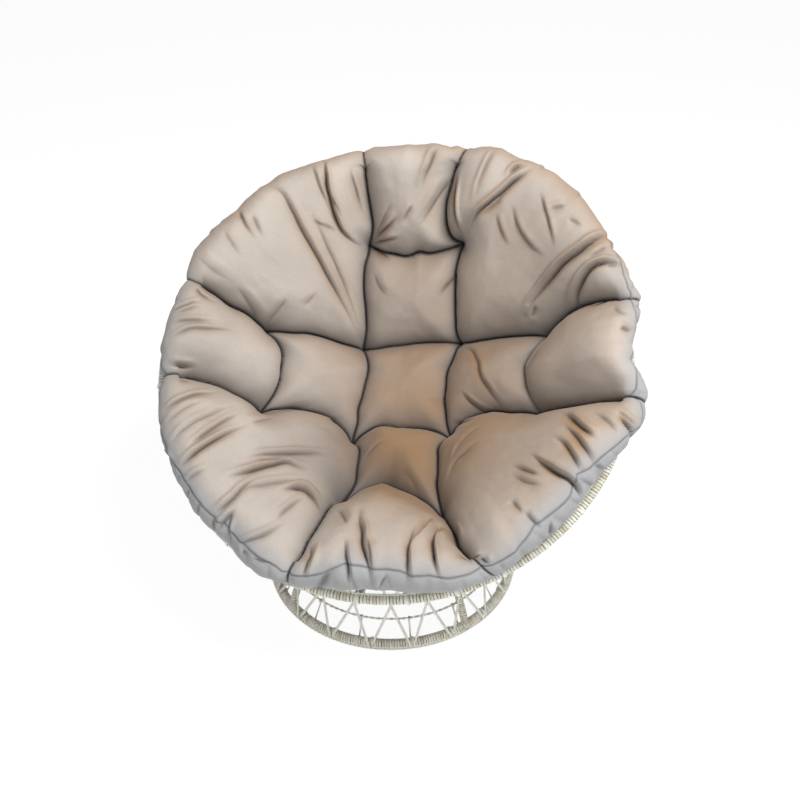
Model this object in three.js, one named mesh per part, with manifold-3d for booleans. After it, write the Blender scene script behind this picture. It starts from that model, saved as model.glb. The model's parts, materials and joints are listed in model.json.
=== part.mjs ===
// Round wicker papasan chair: a low base, a tilted dished bowl that turns on it, and a tufted cushion.
// Millimetres, +Z up, the front towards -Y. The origin is at the middle of the footprint on the floor.
import * as THREE from 'three';
import { mergeVertices } from 'three/addons/utils/BufferGeometryUtils.js';
import Module from 'manifold-3d';

const wasm = await Module();
wasm.setup();

// Clearances
const touchGap = 0.3; // between pieces that touch
const crossGap = 1; // between two strands that cross
const turningGap = 0.4; // round the king pin where the seat turns on it

// Base: floor ring, top ring and the raked legs between them
const floorRingRadius = 300;
const floorRingTube = 21;
const topRingRadius = 235;
const topRingTube = 18;
const legCount = 4;
const legTube = 18;
const legInset = 4;
const glideDiameter = 13;
const glideHeight = 4;
const glideCupDepth = 4;

// Wicker strands
const strandWidth = 6.5;
const strandThickness = 3;
const strandBendWidth = 9;
const bendSpread = 1.2; // how much the mitre at a bend widens the strand
const baseStrandWaves = 10;
const bindingTube = 5;
const floorBindingTurn = -45;
const rimBindingTurn = 135;

// Hoop inside the legs, tied down to the floor ring
const hoopTube = 6;
const hoopHeightShare = 0.31;
const tieCount = 15;
const tieTube = 4;

// Swivel: two plates on a ball race, each bolted to a cross of flat bars, round one king pin
const armCount = 4;
const spiderArmWidth = 30;
const spiderThickness = 5;
const plateDiameter = 124;
const plateThickness = 4;
const raceOuterDiameter = 76;
const raceInnerDiameter = 46;
const raceHeight = 6;
const pinDiameter = 12;
const pinHeadDiameter = 24;
const pinHeadHeight = 7;
const pinSpareLength = 4;
const washerDiameter = 26;
const washerThickness = 2;
const nutWidth = 21;
const nutHeight = 10;
const boltDiameter = 8;
const boltHeadWidth = 14;
const boltHeadHeight = 5;
const boltCircleDiameter = 100;
const boltEndCover = 0.6;

// Seat frame that carries the bowl on the upper cross
const seatRingRadius = 200;
const seatRingTube = 16;
const stayTube = 12;
const staySearchSteps = 40;
const backStayTurn = 10;

// Bowl: a rim, ribs and rings on one sphere, tipped to the front
const rimRadius = 530;
const rimTube = 21;
const rimSetback = 40;
const rimHeight = 565;
const bowlTilt = 34;
const bowlDepth = 275;
const bowlStandoff = 31; // from the seat ring's middle up to the lowest of the bowl's sphere
const ribCount = 8;
const ribTube = 14;
const middleRingRadius = 330;
const middleRingTube = 10;
const bottomRingRadius = 110;
const bottomRingTube = 16;
const upperLatticeWaves = 16;
const lowerLatticeWaves = 10;
const latticeSagRoom = 4;

// Cushion: a round pad with its crown, tufts on two crossing pairs of creases, and a rolled edge
const cushionOverhang = 15;
const cushionEdgeInset = 55;
const cushionShiftX = 10;
const cushionShiftY = 12;
const cushionTurn = 2.6;
const middleThickness = 92;
const outerThickness = 124;
const edgeCrownHeight = 110;
const edgeMiddleHeight = 62;
const crownBlend = 70;
const tuftSpacing = 224;
const outerTuftReach = 321;
const tuftDepth = 26;
const tuftReach = 34;
const creaseDepth = 36;
const creaseReach = 28;
const edgeDrawIn = 11;
const rollTurns = [55, 15, -25];
const seamInset = 12;
const overRimInset = 15;
const underEdgeInset = 42;

// Facets
const ringSides = 8;
const thinSides = 5;
const largeRingSteps = 48;
const smallRingSteps = 32;
const ribSteps = 10;
const plateSides = 28;
const pinSides = 16;
const boltSides = 8;
const centrePanelSteps = 6;
const innerArmSteps = 4;
const outerArmSteps = 4;

const down = -1;
const fullTurn = 2 * Math.PI;
const degrees = Math.PI / 180;

const wicker = { color: 0xc6c1ad, roughness: 0.6, metalness: 0 };
const steel = { color: 0x2b2a29, roughness: 0.5, metalness: 0.6 };
const zinc = { color: 0xa9abad, roughness: 0.35, metalness: 0.9 };
const plastic = { color: 0x3a3836, roughness: 0.7, metalness: 0 };
const fabric = { color: 0xb9aa9c, roughness: 0.95, metalness: 0 };

// Each mesh gets a material of its own
function piece(name, geometry, finish, parent) {
  const mesh = new THREE.Mesh(geometry, new THREE.MeshStandardMaterial(finish));
  mesh.name = name;
  parent.add(mesh);
  return mesh;
}

// Cutting and joining
function toSolid(geometry) {
  const bare = geometry.clone();
  bare.deleteAttribute('normal');
  bare.deleteAttribute('uv');
  const merged = mergeVertices(bare, touchGap / 1000);
  const vertProperties = new Float32Array(merged.attributes.position.array);
  const triVerts = new Uint32Array(merged.index.array);
  return new wasm.Manifold(new wasm.Mesh({ numProp: 3, vertProperties, triVerts }));
}

function toGeometry(solid) {
  const mesh = solid.getMesh();
  const geometry = new THREE.BufferGeometry();
  geometry.setAttribute('position', new THREE.BufferAttribute(new Float32Array(mesh.vertProperties), 3));
  geometry.setIndex(new THREE.BufferAttribute(new Uint32Array(mesh.triVerts), 1));
  geometry.computeVertexNormals();
  return geometry;
}

// The offcuts beyond a coped end are dropped, so the largest body is the piece
function cut(geometry, cutters) {
  let solid = toSolid(geometry);
  for (const cutter of cutters) solid = solid.subtract(toSolid(cutter));
  const bodies = solid.decompose().sort((a, b) => b.volume() - a.volume());
  return toGeometry(bodies[0]);
}

function join(geometries) {
  let solid = toSolid(geometries[0]);
  for (const geometry of geometries.slice(1)) solid = solid.add(toSolid(geometry));
  return toGeometry(solid);
}

// Basic shapes
function ring(radius, tube, steps, sides = ringSides) {
  return new THREE.TorusGeometry(radius, tube / 2, sides, steps);
}

function rod(from, to, diameter, sides = ringSides) {
  const along = to.clone().sub(from);
  const geometry = new THREE.CylinderGeometry(diameter / 2, diameter / 2, along.length(), sides);
  const turn = new THREE.Quaternion().setFromUnitVectors(new THREE.Vector3(0, 1, 0), along.normalize());
  geometry.applyQuaternion(turn);
  const middle = from.clone().add(to).multiplyScalar(0.5);
  return geometry.translate(middle.x, middle.y, middle.z);
}

function disc(diameter, height, sides) {
  const geometry = new THREE.CylinderGeometry(diameter / 2, diameter / 2, height, sides);
  return geometry.rotateX(Math.PI / 2).translate(0, 0, height / 2);
}

function onAxis(radius, height, azimuth) {
  return new THREE.Vector3(radius * Math.cos(azimuth), radius * Math.sin(azimuth), height);
}

// A hexagon across its flats, on its flat face
function hexagon(width, height) {
  return disc(width / Math.cos(Math.PI / 6), height, 6);
}

// A closed flat strand through a loop of points, its broad side along each point's normal
function strandLoop(stations) {
  const count = stations.length;
  const position = [];
  for (let i = 0; i < count; i++) {
    const { point, normal } = stations[i];
    const before = point.clone().sub(stations[(i + count - 1) % count].point).normalize();
    const after = stations[(i + 1) % count].point.clone().sub(point).normalize();
    const along = before.clone().add(after).normalize();
    const mitre = 1 / Math.sqrt((1 + before.dot(after)) / 2);
    const across = new THREE.Vector3().crossVectors(normal, along).normalize();
    const out = new THREE.Vector3().crossVectors(along, across);
    for (const [side, level] of [[-1, -1], [1, -1], [1, 1], [-1, 1]]) {
      const corner = point.clone().addScaledVector(across, side * mitre * strandWidth / 2);
      corner.addScaledVector(out, level * strandThickness / 2);
      position.push(corner.x, corner.y, corner.z);
    }
  }
  const index = [];
  for (let i = 0; i < count; i++) {
    const near = 4 * i;
    const far = 4 * ((i + 1) % count);
    for (let k = 0; k < 4; k++) {
      const next = (k + 1) % 4;
      index.push(near + k, near + next, far + next, near + k, far + next, far + k);
    }
  }
  return closedSurface(position, index);
}

function closedSurface(position, index) {
  const geometry = new THREE.BufferGeometry();
  geometry.setAttribute('position', new THREE.Float32BufferAttribute(position, 3));
  geometry.setIndex(index);
  geometry.computeVertexNormals();
  return geometry;
}

// How far from a ring's centre line, along the strand's surface, a bend lies beside its tube
function bendDistance(tube, lift) {
  const reach = tube / 2 + touchGap;
  const level = Math.max(Math.abs(lift) - strandThickness / 2, 0);
  return Math.sqrt(Math.max(reach ** 2 - level ** 2, 0)) + strandWidth * bendSpread / 2;
}

// A zigzag between a lower and an upper ring: low bend, crossing, high bend, crossing, and round again.
// stationAt gives the point and normal for an azimuth, a share of the height and a lift off the surface.
function zigzag(stationAt, waves, phase, crossLift, lowRadius, highRadius) {
  const stations = [];
  const halfWave = Math.PI / waves;
  const lowBend = strandBendWidth / 2 / lowRadius;
  const highBend = strandBendWidth / 2 / highRadius;
  for (let wave = 0; wave < waves; wave++) {
    const low = (2 * wave + phase) * halfWave;
    const high = low + halfWave;
    stations.push(stationAt(low - lowBend, 0, 0));
    stations.push(stationAt(low + lowBend, 0, 0));
    stations.push(stationAt(low + halfWave / 2, 0.5, crossLift));
    stations.push(stationAt(high - highBend, 1, 0));
    stations.push(stationAt(high + highBend, 1, 0));
    stations.push(stationAt(high + halfWave / 2, 0.5, crossLift));
  }
  return strandLoop(stations);
}

// A binding strand laid along a ring, at a turn round its tube from straight outward
function besideRing(radius, tube, turn) {
  const reach = (tube + bindingTube) / 2 + touchGap;
  const binding = ring(radius + reach * Math.cos(turn * degrees), bindingTube, largeRingSteps, thinSides);
  return binding.translate(0, 0, reach * Math.sin(turn * degrees));
}

// The sphere on which the bowl's frame lies; its centre is above the middle of the rim
const bowlRadius = (rimRadius ** 2 + bowlDepth ** 2) / (2 * bowlDepth);
const bowlCentreHeight = bowlRadius - bowlDepth;
const bowlLowest = rimHeight + bowlCentreHeight * Math.cos(bowlTilt * degrees) - bowlRadius;

// Heights of the swivel's stack, from the seat ring under the bowl down to the base's top ring
const seatRingHeight = bowlLowest - bowlStandoff;
const upperSpiderBase = seatRingHeight - spiderThickness / 2;
const upperPlateBase = upperSpiderBase - touchGap - plateThickness;
const raceBase = upperPlateBase - touchGap - raceHeight;
const lowerPlateBase = raceBase - touchGap - plateThickness;
const lowerSpiderBase = lowerPlateBase - touchGap - spiderThickness;
const topRingHeight = lowerSpiderBase + spiderThickness / 2;
const washerBase = upperSpiderBase + spiderThickness + touchGap;
const nutBase = washerBase + washerThickness + touchGap;

// Base
const floorRingHeight = glideHeight + touchGap + floorRingTube / 2;
const coneLength = Math.hypot(floorRingRadius - topRingRadius, topRingHeight - floorRingHeight);
const coneSine = (floorRingRadius - topRingRadius) / coneLength;
const coneCosine = (topRingHeight - floorRingHeight) / coneLength;

// A point on the cone between the two ring centre lines: along its slope, and lifted outward off it
function conePoint(along, lift, azimuth) {
  const radius = floorRingRadius - coneSine * along + coneCosine * lift;
  const height = floorRingHeight + coneCosine * along + coneSine * lift;
  return onAxis(radius, height, azimuth);
}

function floorRingCutter(spare = touchGap) {
  return ring(floorRingRadius, floorRingTube + 2 * spare, largeRingSteps).translate(0, 0, floorRingHeight);
}

function topRingCutter(spare = touchGap) {
  return ring(topRingRadius, topRingTube + 2 * spare, smallRingSteps).translate(0, 0, topRingHeight);
}

function legAzimuth(number) {
  return (number + 0.5) * fullTurn / legCount;
}

function buildRingsAndLegs(parent) {
  piece('floor_ring', floorRingCutter(0), wicker, parent);
  piece('base_top_ring', topRingCutter(0), wicker, parent);
  for (let number = 0; number < legCount; number++) {
    const azimuth = legAzimuth(number);
    const foot = conePoint(0, -legInset, azimuth);
    const head = conePoint(coneLength, -legInset, azimuth);
    const leg = cut(rod(foot, head, legTube), [floorRingCutter(), topRingCutter()]);
    piece(`base_leg_${number + 1}`, leg, wicker, parent);
    const glide = disc(glideDiameter, glideHeight + glideCupDepth, pinSides);
    const footing = onAxis(floorRingRadius, 0, azimuth);
    glide.translate(footing.x, footing.y, 0);
    piece(`floor_glide_${number + 1}`, cut(glide, [floorRingCutter()]), plastic, parent);
  }
}

function buildBaseStrands(parent) {
  const lift = legTube / 2 + touchGap + strandThickness / 2 - legInset;
  const start = bendDistance(floorRingTube, lift);
  const end = coneLength - bendDistance(topRingTube, lift);
  const stationAt = (azimuth, share, extra) => ({
    point: conePoint(THREE.MathUtils.lerp(start, end, share), lift + extra, azimuth),
    normal: onAxis(coneCosine, coneSine, azimuth),
  });
  const crossLift = strandThickness + crossGap;
  const inner = zigzag(stationAt, baseStrandWaves, 0, 0, floorRingRadius, topRingRadius);
  const outer = zigzag(stationAt, baseStrandWaves, 1, crossLift, floorRingRadius, topRingRadius);
  piece('base_strand_inner', inner, wicker, parent);
  piece('base_strand_outer', outer, wicker, parent);
}

function buildHoopAndBinding(parent) {
  const lift = -legInset - legTube / 2 - touchGap - hoopTube / 2;
  const along = hoopHeightShare * coneLength;
  const place = conePoint(along, lift, 0);
  const hoop = ring(place.x, hoopTube, smallRingSteps, thinSides).translate(0, 0, place.z);
  const pieces = [hoop];
  for (let number = 0; number < tieCount; number++) {
    const azimuth = number * fullTurn / tieCount;
    pieces.push(rod(conePoint(along, lift, azimuth), conePoint(0, 0, azimuth), tieTube, thinSides));
  }
  piece('stay_hoop', cut(join(pieces), [floorRingCutter()]), wicker, parent);
  const binding = besideRing(floorRingRadius, floorRingTube, floorBindingTurn);
  piece('floor_ring_binding', binding.translate(0, 0, floorRingHeight), wicker, parent);
}

// Swivel: bores
const turningBore = pinDiameter + 2 * turningGap;
const fixedBore = pinDiameter + 2 * touchGap;
const boltBore = boltDiameter + 2 * touchGap;

// A round outline as a polygon: inside the circle for a solid, outside it for a hole
function roundOutline(radius, sides, x = 0, y = 0) {
  const points = [];
  for (let side = 0; side < sides; side++) {
    const corner = onAxis(radius, 0, side * fullTurn / sides);
    points.push(new THREE.Vector2(x + corner.x, y + corner.y));
  }
  return points;
}

function roundHole(diameter, sides, x = 0, y = 0) {
  return new THREE.Path(roundOutline(diameter / 2 / Math.cos(Math.PI / sides), sides, x, y));
}

function drill(shape, bore) {
  shape.holes.push(roundHole(bore, pinSides));
  for (let number = 0; number < armCount; number++) {
    const place = onAxis(boltCircleDiameter / 2, 0, number * fullTurn / armCount);
    shape.holes.push(roundHole(boltBore, boltSides, place.x, place.y));
  }
  return shape;
}

function slab(shape, thickness, base) {
  return new THREE.ExtrudeGeometry(shape, { depth: thickness, bevelEnabled: false }).translate(0, 0, base);
}

// A cross of four flat arms, welded as one, which ends in the ring that it carries
function spider(reach, bore, base, ringCutter) {
  const half = spiderArmWidth / 2;
  const centre = new THREE.Vector2();
  const corners = [];
  for (let number = 0; number < armCount; number++) {
    for (const [x, y] of [[reach, -half], [reach, half], [half, half]]) {
      corners.push(new THREE.Vector2(x, y).rotateAround(centre, number * fullTurn / armCount));
    }
  }
  return cut(slab(drill(new THREE.Shape(corners), bore), spiderThickness, base), [ringCutter]);
}

function swivelPlate(bore, base) {
  const outline = new THREE.Shape(roundOutline(plateDiameter / 2, plateSides));
  return slab(drill(outline, bore), plateThickness, base);
}

// A bolt along Z: its head under or over what it clamps, and its shank into the plate beyond
function bolt(azimuth, clampFace, direction) {
  const shankLength = touchGap + spiderThickness + touchGap + plateThickness - boltEndCover;
  const head = hexagon(boltHeadWidth, boltHeadHeight).translate(0, 0, -boltHeadHeight);
  const shank = disc(boltDiameter, shankLength + touchGap, boltSides).translate(0, 0, -touchGap);
  const geometry = join([head, shank]);
  if (direction < 0) geometry.rotateX(Math.PI);
  const place = onAxis(boltCircleDiameter / 2, clampFace - direction * touchGap, azimuth);
  return geometry.translate(place.x, place.y, place.z);
}

function washerRing(outer, inner, height, base) {
  const outline = new THREE.Shape(roundOutline(outer / 2, pinSides));
  outline.holes.push(roundHole(inner, pinSides));
  return slab(outline, height, base);
}

function buildSwivelBase(parent) {
  const lowerSpider = spider(topRingRadius, fixedBore, lowerSpiderBase, topRingCutter());
  piece('base_spider', lowerSpider, steel, parent);
  piece('lower_swivel_plate', swivelPlate(fixedBore, lowerPlateBase), steel, parent);
  const race = washerRing(raceOuterDiameter, raceInnerDiameter, raceHeight, raceBase);
  piece('ball_race', race, zinc, parent);
  const pinTop = nutBase + nutHeight + pinSpareLength;
  const pinSeat = lowerSpiderBase - touchGap;
  const head = hexagon(pinHeadDiameter, pinHeadHeight).translate(0, 0, pinSeat - pinHeadHeight);
  const shaft = disc(pinDiameter, pinTop - pinSeat + pinHeadHeight / 2, pinSides);
  shaft.translate(0, 0, pinSeat - pinHeadHeight / 2);
  piece('king_pin', join([head, shaft]), zinc, parent);
  piece('king_pin_washer', washerRing(washerDiameter, fixedBore, washerThickness, washerBase), zinc, parent);
  const thread = disc(fixedBore, 3 * nutHeight, pinSides).translate(0, 0, -nutHeight);
  const nut = cut(hexagon(nutWidth, nutHeight), [thread]);
  piece('king_pin_nut', nut.translate(0, 0, nutBase), zinc, parent);
  for (let number = 0; number < armCount; number++) {
    const lowerBolt = bolt(number * fullTurn / armCount, lowerSpiderBase, 1);
    piece(`lower_plate_bolt_${number + 1}`, lowerBolt, zinc, parent);
  }
}

function buildSwivelSeat(parent) {
  piece('upper_swivel_plate', swivelPlate(turningBore, upperPlateBase), steel, parent);
  const upperSpider = spider(seatRingRadius, turningBore, upperSpiderBase, seatRingCutter());
  piece('seat_spider', upperSpider, steel, parent);
  piece('seat_ring', seatRingCutter(0), steel, parent);
  for (let number = 0; number < armCount; number++) {
    const upperBolt = bolt(number * fullTurn / armCount, upperSpiderBase + spiderThickness, down);
    piece(`upper_plate_bolt_${number + 1}`, upperBolt, zinc, parent);
  }
}

function seatRingCutter(spare = touchGap) {
  return ring(seatRingRadius, seatRingTube + 2 * spare, smallRingSteps).translate(0, 0, seatRingHeight);
}

// Bowl: where its rings lie on the sphere, as angles from its bottom
const rimAngle = Math.asin(rimRadius / bowlRadius);
const middleAngle = Math.asin(middleRingRadius / bowlRadius);
const bottomAngle = Math.asin(bottomRingRadius / bowlRadius);
const ribSag = bowlRadius * (1 - Math.cos((rimAngle - bottomAngle) / ribSteps / 2));
const ribFace = ribTube / 2 + ribSag + touchGap;
const middleInset = ribFace + middleRingTube / 2;
const bowlPlace = new THREE.Matrix4().makeRotationX(bowlTilt * degrees);
bowlPlace.setPosition(0, rimSetback, rimHeight);

// A point at an angle from the bottom of the bowl, and an inset from its sphere towards the centre
function bowlPoint(azimuth, angle, inset = 0) {
  const radius = bowlRadius - inset;
  return onAxis(radius * Math.sin(angle), bowlCentreHeight - radius * Math.cos(angle), azimuth);
}

class BowlArc extends THREE.Curve {
  constructor(azimuth, fromAngle, toAngle) {
    super();
    Object.assign(this, { azimuth, fromAngle, toAngle });
  }

  getPoint(share, target = new THREE.Vector3()) {
    return target.copy(bowlPoint(this.azimuth, THREE.MathUtils.lerp(this.fromAngle, this.toAngle, share)));
  }
}

function bowlRing(angle, inset, tube, steps, sides) {
  const place = bowlPoint(0, angle, inset);
  return ring(place.x, tube, steps, sides).translate(0, 0, place.z);
}

function rimCutter(spare = touchGap) {
  return bowlRing(rimAngle, 0, rimTube + 2 * spare, largeRingSteps, ringSides);
}

function bottomRingCutter(spare = touchGap) {
  return bowlRing(bottomAngle, 0, bottomRingTube + 2 * spare, smallRingSteps, ringSides);
}

function ribAzimuth(number) {
  return number * fullTurn / ribCount - Math.PI / 2;
}

function rib(azimuth, spare = 0) {
  const section = new THREE.Shape(roundOutline(ribTube / 2 + spare, ringSides));
  const extrudePath = new BowlArc(azimuth, bottomAngle, rimAngle);
  return new THREE.ExtrudeGeometry(section, { steps: ribSteps, bevelEnabled: false, extrudePath });
}

function lattice(waves, phase, crossLift, low, high) {
  const stationAt = (azimuth, share, extra) => {
    const angle = THREE.MathUtils.lerp(low.angle, high.angle, share);
    const inset = THREE.MathUtils.lerp(low.inset, high.inset, share) + extra;
    return {
      point: bowlPoint(azimuth, angle, inset),
      normal: bowlPoint(azimuth, angle, bowlRadius).sub(bowlPoint(azimuth, angle)).normalize(),
    };
  };
  return zigzag(stationAt, waves, phase, crossLift, bowlRadius * Math.sin(low.angle), rimRadius);
}

// Where a strand ends beside a ring, as an angle on the bowl: above the ring is +1, below it -1
function latticeEnd(ringAngle, ringInset, tube, strandInset, side) {
  const slide = bendDistance(tube, strandInset - ringInset);
  return { angle: ringAngle + side * slide / (bowlRadius - strandInset), inset: strandInset };
}

function buildBowlFrame(parent) {
  piece('bowl_rim', rimCutter(0), wicker, parent);
  for (let number = 0; number < ribCount; number++) {
    const arc = cut(rib(ribAzimuth(number)), [rimCutter(), bottomRingCutter()]);
    piece(`bowl_rib_${number + 1}`, arc, wicker, parent);
  }
  const middleRing = bowlRing(middleAngle, middleInset, middleRingTube, largeRingSteps, thinSides);
  piece('bowl_middle_ring', middleRing, wicker, parent);
  piece('bowl_bottom_ring', bottomRingCutter(0), wicker, parent);
  piece('rim_binding', besideRing(rimRadius, rimTube, rimBindingTurn), wicker, parent);
}

function buildBowlLattice(parent) {
  const inset = ribFace + strandThickness / 2;
  const crossLift = strandThickness + crossGap;
  const rimEnd = latticeEnd(rimAngle, 0, rimTube, inset, -1);
  const overMiddle = latticeEnd(middleAngle, middleInset, middleRingTube, inset, 1);
  const underMiddle = latticeEnd(middleAngle, middleInset, middleRingTube, inset, -1);
  const bottomEnd = latticeEnd(bottomAngle, 0, bottomRingTube, inset, 1);
  const bands = [
    ['upper_lattice', upperLatticeWaves, overMiddle, rimEnd],
    ['lower_lattice', lowerLatticeWaves, bottomEnd, underMiddle],
  ];
  for (const [name, waves, low, high] of bands) {
    piece(`${name}_outer`, lattice(waves, 0, 0, low, high), wicker, parent);
    piece(`${name}_inner`, lattice(waves, 1, crossLift, low, high), wicker, parent);
  }
}

// The angle at which a rib passes over the seat ring
function angleOverSeatRing(azimuth) {
  let [inside, outside] = [bottomAngle, rimAngle];
  for (let step = 0; step < staySearchSteps; step++) {
    const angle = (inside + outside) / 2;
    const { x, y } = bowlPoint(azimuth, angle).applyMatrix4(bowlPlace);
    if (Math.hypot(x, y) < seatRingRadius) inside = angle;
    else outside = angle;
  }
  return inside;
}

// Stays: coped tubes from the seat ring up to the ribs and the bottom ring
function buildStays(parent) {
  const [front, right, left] = [ribAzimuth(0), ribAzimuth(1), ribAzimuth(ribCount - 1)];
  const places = [
    ['seat_stay_front', front, angleOverSeatRing(front), front],
    ['seat_stay_right', right, angleOverSeatRing(right), right],
    ['seat_stay_left', left, angleOverSeatRing(left), left],
    ['seat_stay_back_right', -backStayTurn * degrees, bottomAngle, null],
    ['seat_stay_back_left', Math.PI + backStayTurn * degrees, bottomAngle, null],
  ];
  for (const [name, azimuth, angle, ribTurn] of places) {
    const head = bowlPoint(azimuth, angle).applyMatrix4(bowlPlace);
    const foot = onAxis(seatRingRadius, seatRingHeight, Math.atan2(head.y, head.x));
    const carried = ribTurn === null ? bottomRingCutter() : rib(ribTurn, touchGap);
    const stay = cut(rod(foot, head, stayTube), [seatRingCutter(), carried.applyMatrix4(bowlPlace)]);
    piece(name, stay, steel, parent);
  }
}

// Cushion
const tuftLine = tuftSpacing / 2;
const cushionRadius = rimRadius + cushionOverhang;
const topRadius = cushionRadius - cushionEdgeInset;
const armSteps = innerArmSteps + outerArmSteps;
const gridSteps = centrePanelSteps + 2 * armSteps;
const underDepth = middleInset + middleRingTube / 2 + latticeSagRoom;
const underRadius = bowlRadius - underDepth;

// The nearest crease: the two pairs of crossing lines, and the short lines between outer tufts
function creaseDistance(x, y) {
  const across = Math.abs(Math.abs(x) - tuftLine);
  const along = Math.abs(Math.abs(y) - tuftLine);
  const endX = Math.hypot(Math.abs(x) - outerTuftReach, Math.max(Math.abs(y) - tuftLine, 0));
  const endY = Math.hypot(Math.abs(y) - outerTuftReach, Math.max(Math.abs(x) - tuftLine, 0));
  return Math.min(across, along, endX, endY);
}

function tuftDistance(x, y) {
  const [small, large] = [Math.min(Math.abs(x), Math.abs(y)), Math.max(Math.abs(x), Math.abs(y))];
  const inner = Math.hypot(small - tuftLine, large - tuftLine);
  return Math.min(inner, Math.hypot(small - tuftLine, large - outerTuftReach));
}

// The lesser of two heights, rounded where they meet
function softLesser(a, b, blend) {
  const share = THREE.MathUtils.clamp(0.5 + (b - a) / (2 * blend), 0, 1);
  return THREE.MathUtils.lerp(b, a, share) - blend * share * (1 - share);
}

function underHeight(radius) {
  return bowlCentreHeight - Math.sqrt(underRadius ** 2 - Math.min(radius, topRadius) ** 2);
}

function topHeight(x, y) {
  const radius = Math.hypot(x, y);
  const rise = THREE.MathUtils.smoothstep(radius, 0, outerTuftReach);
  const thickness = THREE.MathUtils.lerp(middleThickness, outerThickness, rise);
  const slope = Math.sqrt(1 - (radius / underRadius) ** 2);
  const crown = softLesser(underHeight(radius) + thickness / slope, edgeCrownHeight, crownBlend);
  const crease = creaseDepth * Math.exp(-creaseDistance(x, y) / creaseReach);
  const tuft = tuftDepth * Math.exp(-tuftDistance(x, y) / tuftReach);
  return crown - crease - tuft;
}

// Grid lines run along the creases: straight out to the edge, then spread evenly to the diagonal
function armReach(step, end) {
  if (step <= innerArmSteps) return THREE.MathUtils.lerp(tuftLine, outerTuftReach, step / innerArmSteps);
  return THREE.MathUtils.lerp(outerTuftReach, end, (step - innerArmSteps) / outerArmSteps);
}

function edgeReach(x) {
  return Math.sqrt(topRadius ** 2 - x ** 2);
}

// A corner panel, blended from its two straight creases and its stretches of the round edge
function cornerPoint(stepX, stepY) {
  const [s, t] = [stepX / armSteps, stepY / armSteps];
  const end = edgeReach(tuftLine);
  const far = topRadius * Math.SQRT1_2;
  const edgeTurn = Math.asin(tuftLine / topRadius);
  const turnX = THREE.MathUtils.lerp(edgeTurn, Math.PI / 4, s);
  const turnY = THREE.MathUtils.lerp(edgeTurn, Math.PI / 4, t);
  const parts = [
    [1 - t, armReach(stepX, end), tuftLine],
    [t, topRadius * Math.sin(turnX), topRadius * Math.cos(turnX)],
    [1 - s, tuftLine, armReach(stepY, end)],
    [s, topRadius * Math.cos(turnY), topRadius * Math.sin(turnY)],
    [(s - 1) * (1 - t), tuftLine, tuftLine],
    [s * (t - 1), end, tuftLine],
    [(s - 1) * t, tuftLine, end],
    [-s * t, far, far],
  ];
  const point = new THREE.Vector2();
  for (const [weight, x, y] of parts) point.add(new THREE.Vector2(x, y).multiplyScalar(weight));
  return point;
}

function gridPoint(i, j) {
  const half = centrePanelSteps / 2;
  const [a, b] = [i - gridSteps / 2, j - gridSteps / 2];
  const [outX, outY] = [Math.max(Math.abs(a) - half, 0), Math.max(Math.abs(b) - half, 0)];
  const nearX = Math.min(Math.abs(a), half) / half * tuftLine;
  const nearY = Math.min(Math.abs(b), half) / half * tuftLine;
  let point = new THREE.Vector2(nearX, nearY);
  if (outX > 0 && outY > 0) point = cornerPoint(outX, outY);
  else if (outX > 0) point.x = armReach(outX, edgeReach(nearY));
  else if (outY > 0) point.y = armReach(outY, edgeReach(nearX));
  return point.multiply(new THREE.Vector2(Math.sign(a), Math.sign(b)));
}

// The cushion's side goes round in rings: the roll, the seam, over the rim and into the bowl
function sideRings() {
  const bindingReach = (rimTube + bindingTube) / 2 + touchGap;
  const bindingTop = bindingReach * Math.sin(rimBindingTurn * degrees) + bindingTube / 2;
  const seamHeight = bindingTop + touchGap;
  const rings = rollTurns.map((turn) => ({
    radius: topRadius + cushionEdgeInset * Math.cos(turn * degrees),
    height: edgeMiddleHeight + (edgeCrownHeight - edgeMiddleHeight) * Math.sin(turn * degrees),
    sinkShare: Math.max(Math.sin(turn * degrees), 0),
    drawShare: 1,
    shiftShare: 1,
  }));
  const held = { sinkShare: 0, drawShare: 0, shiftShare: 0 };
  const underEdge = rimRadius - underEdgeInset;
  rings.push({ ...held, radius: cushionRadius - seamInset, height: seamHeight, shiftShare: 0.5 });
  rings.push({ ...held, radius: rimRadius - overRimInset, height: seamHeight });
  rings.push({ ...held, radius: underEdge, height: underHeight(underEdge) });
  return rings;
}

// Two rings of points joined with triangles; the second may have half as many points
function joinRings(index, upper, lower) {
  const step = upper.length / lower.length;
  for (let k = 0; k < lower.length; k++) {
    const next = (k + 1) % lower.length;
    if (step === 1) {
      index.push(upper[k], lower[k], lower[next], upper[k], lower[next], upper[next]);
    } else {
      const middle = upper[2 * k + 1];
      index.push(upper[2 * k], lower[k], middle, lower[k], lower[next], middle);
      index.push(middle, lower[next], upper[2 * next]);
    }
  }
}

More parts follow.
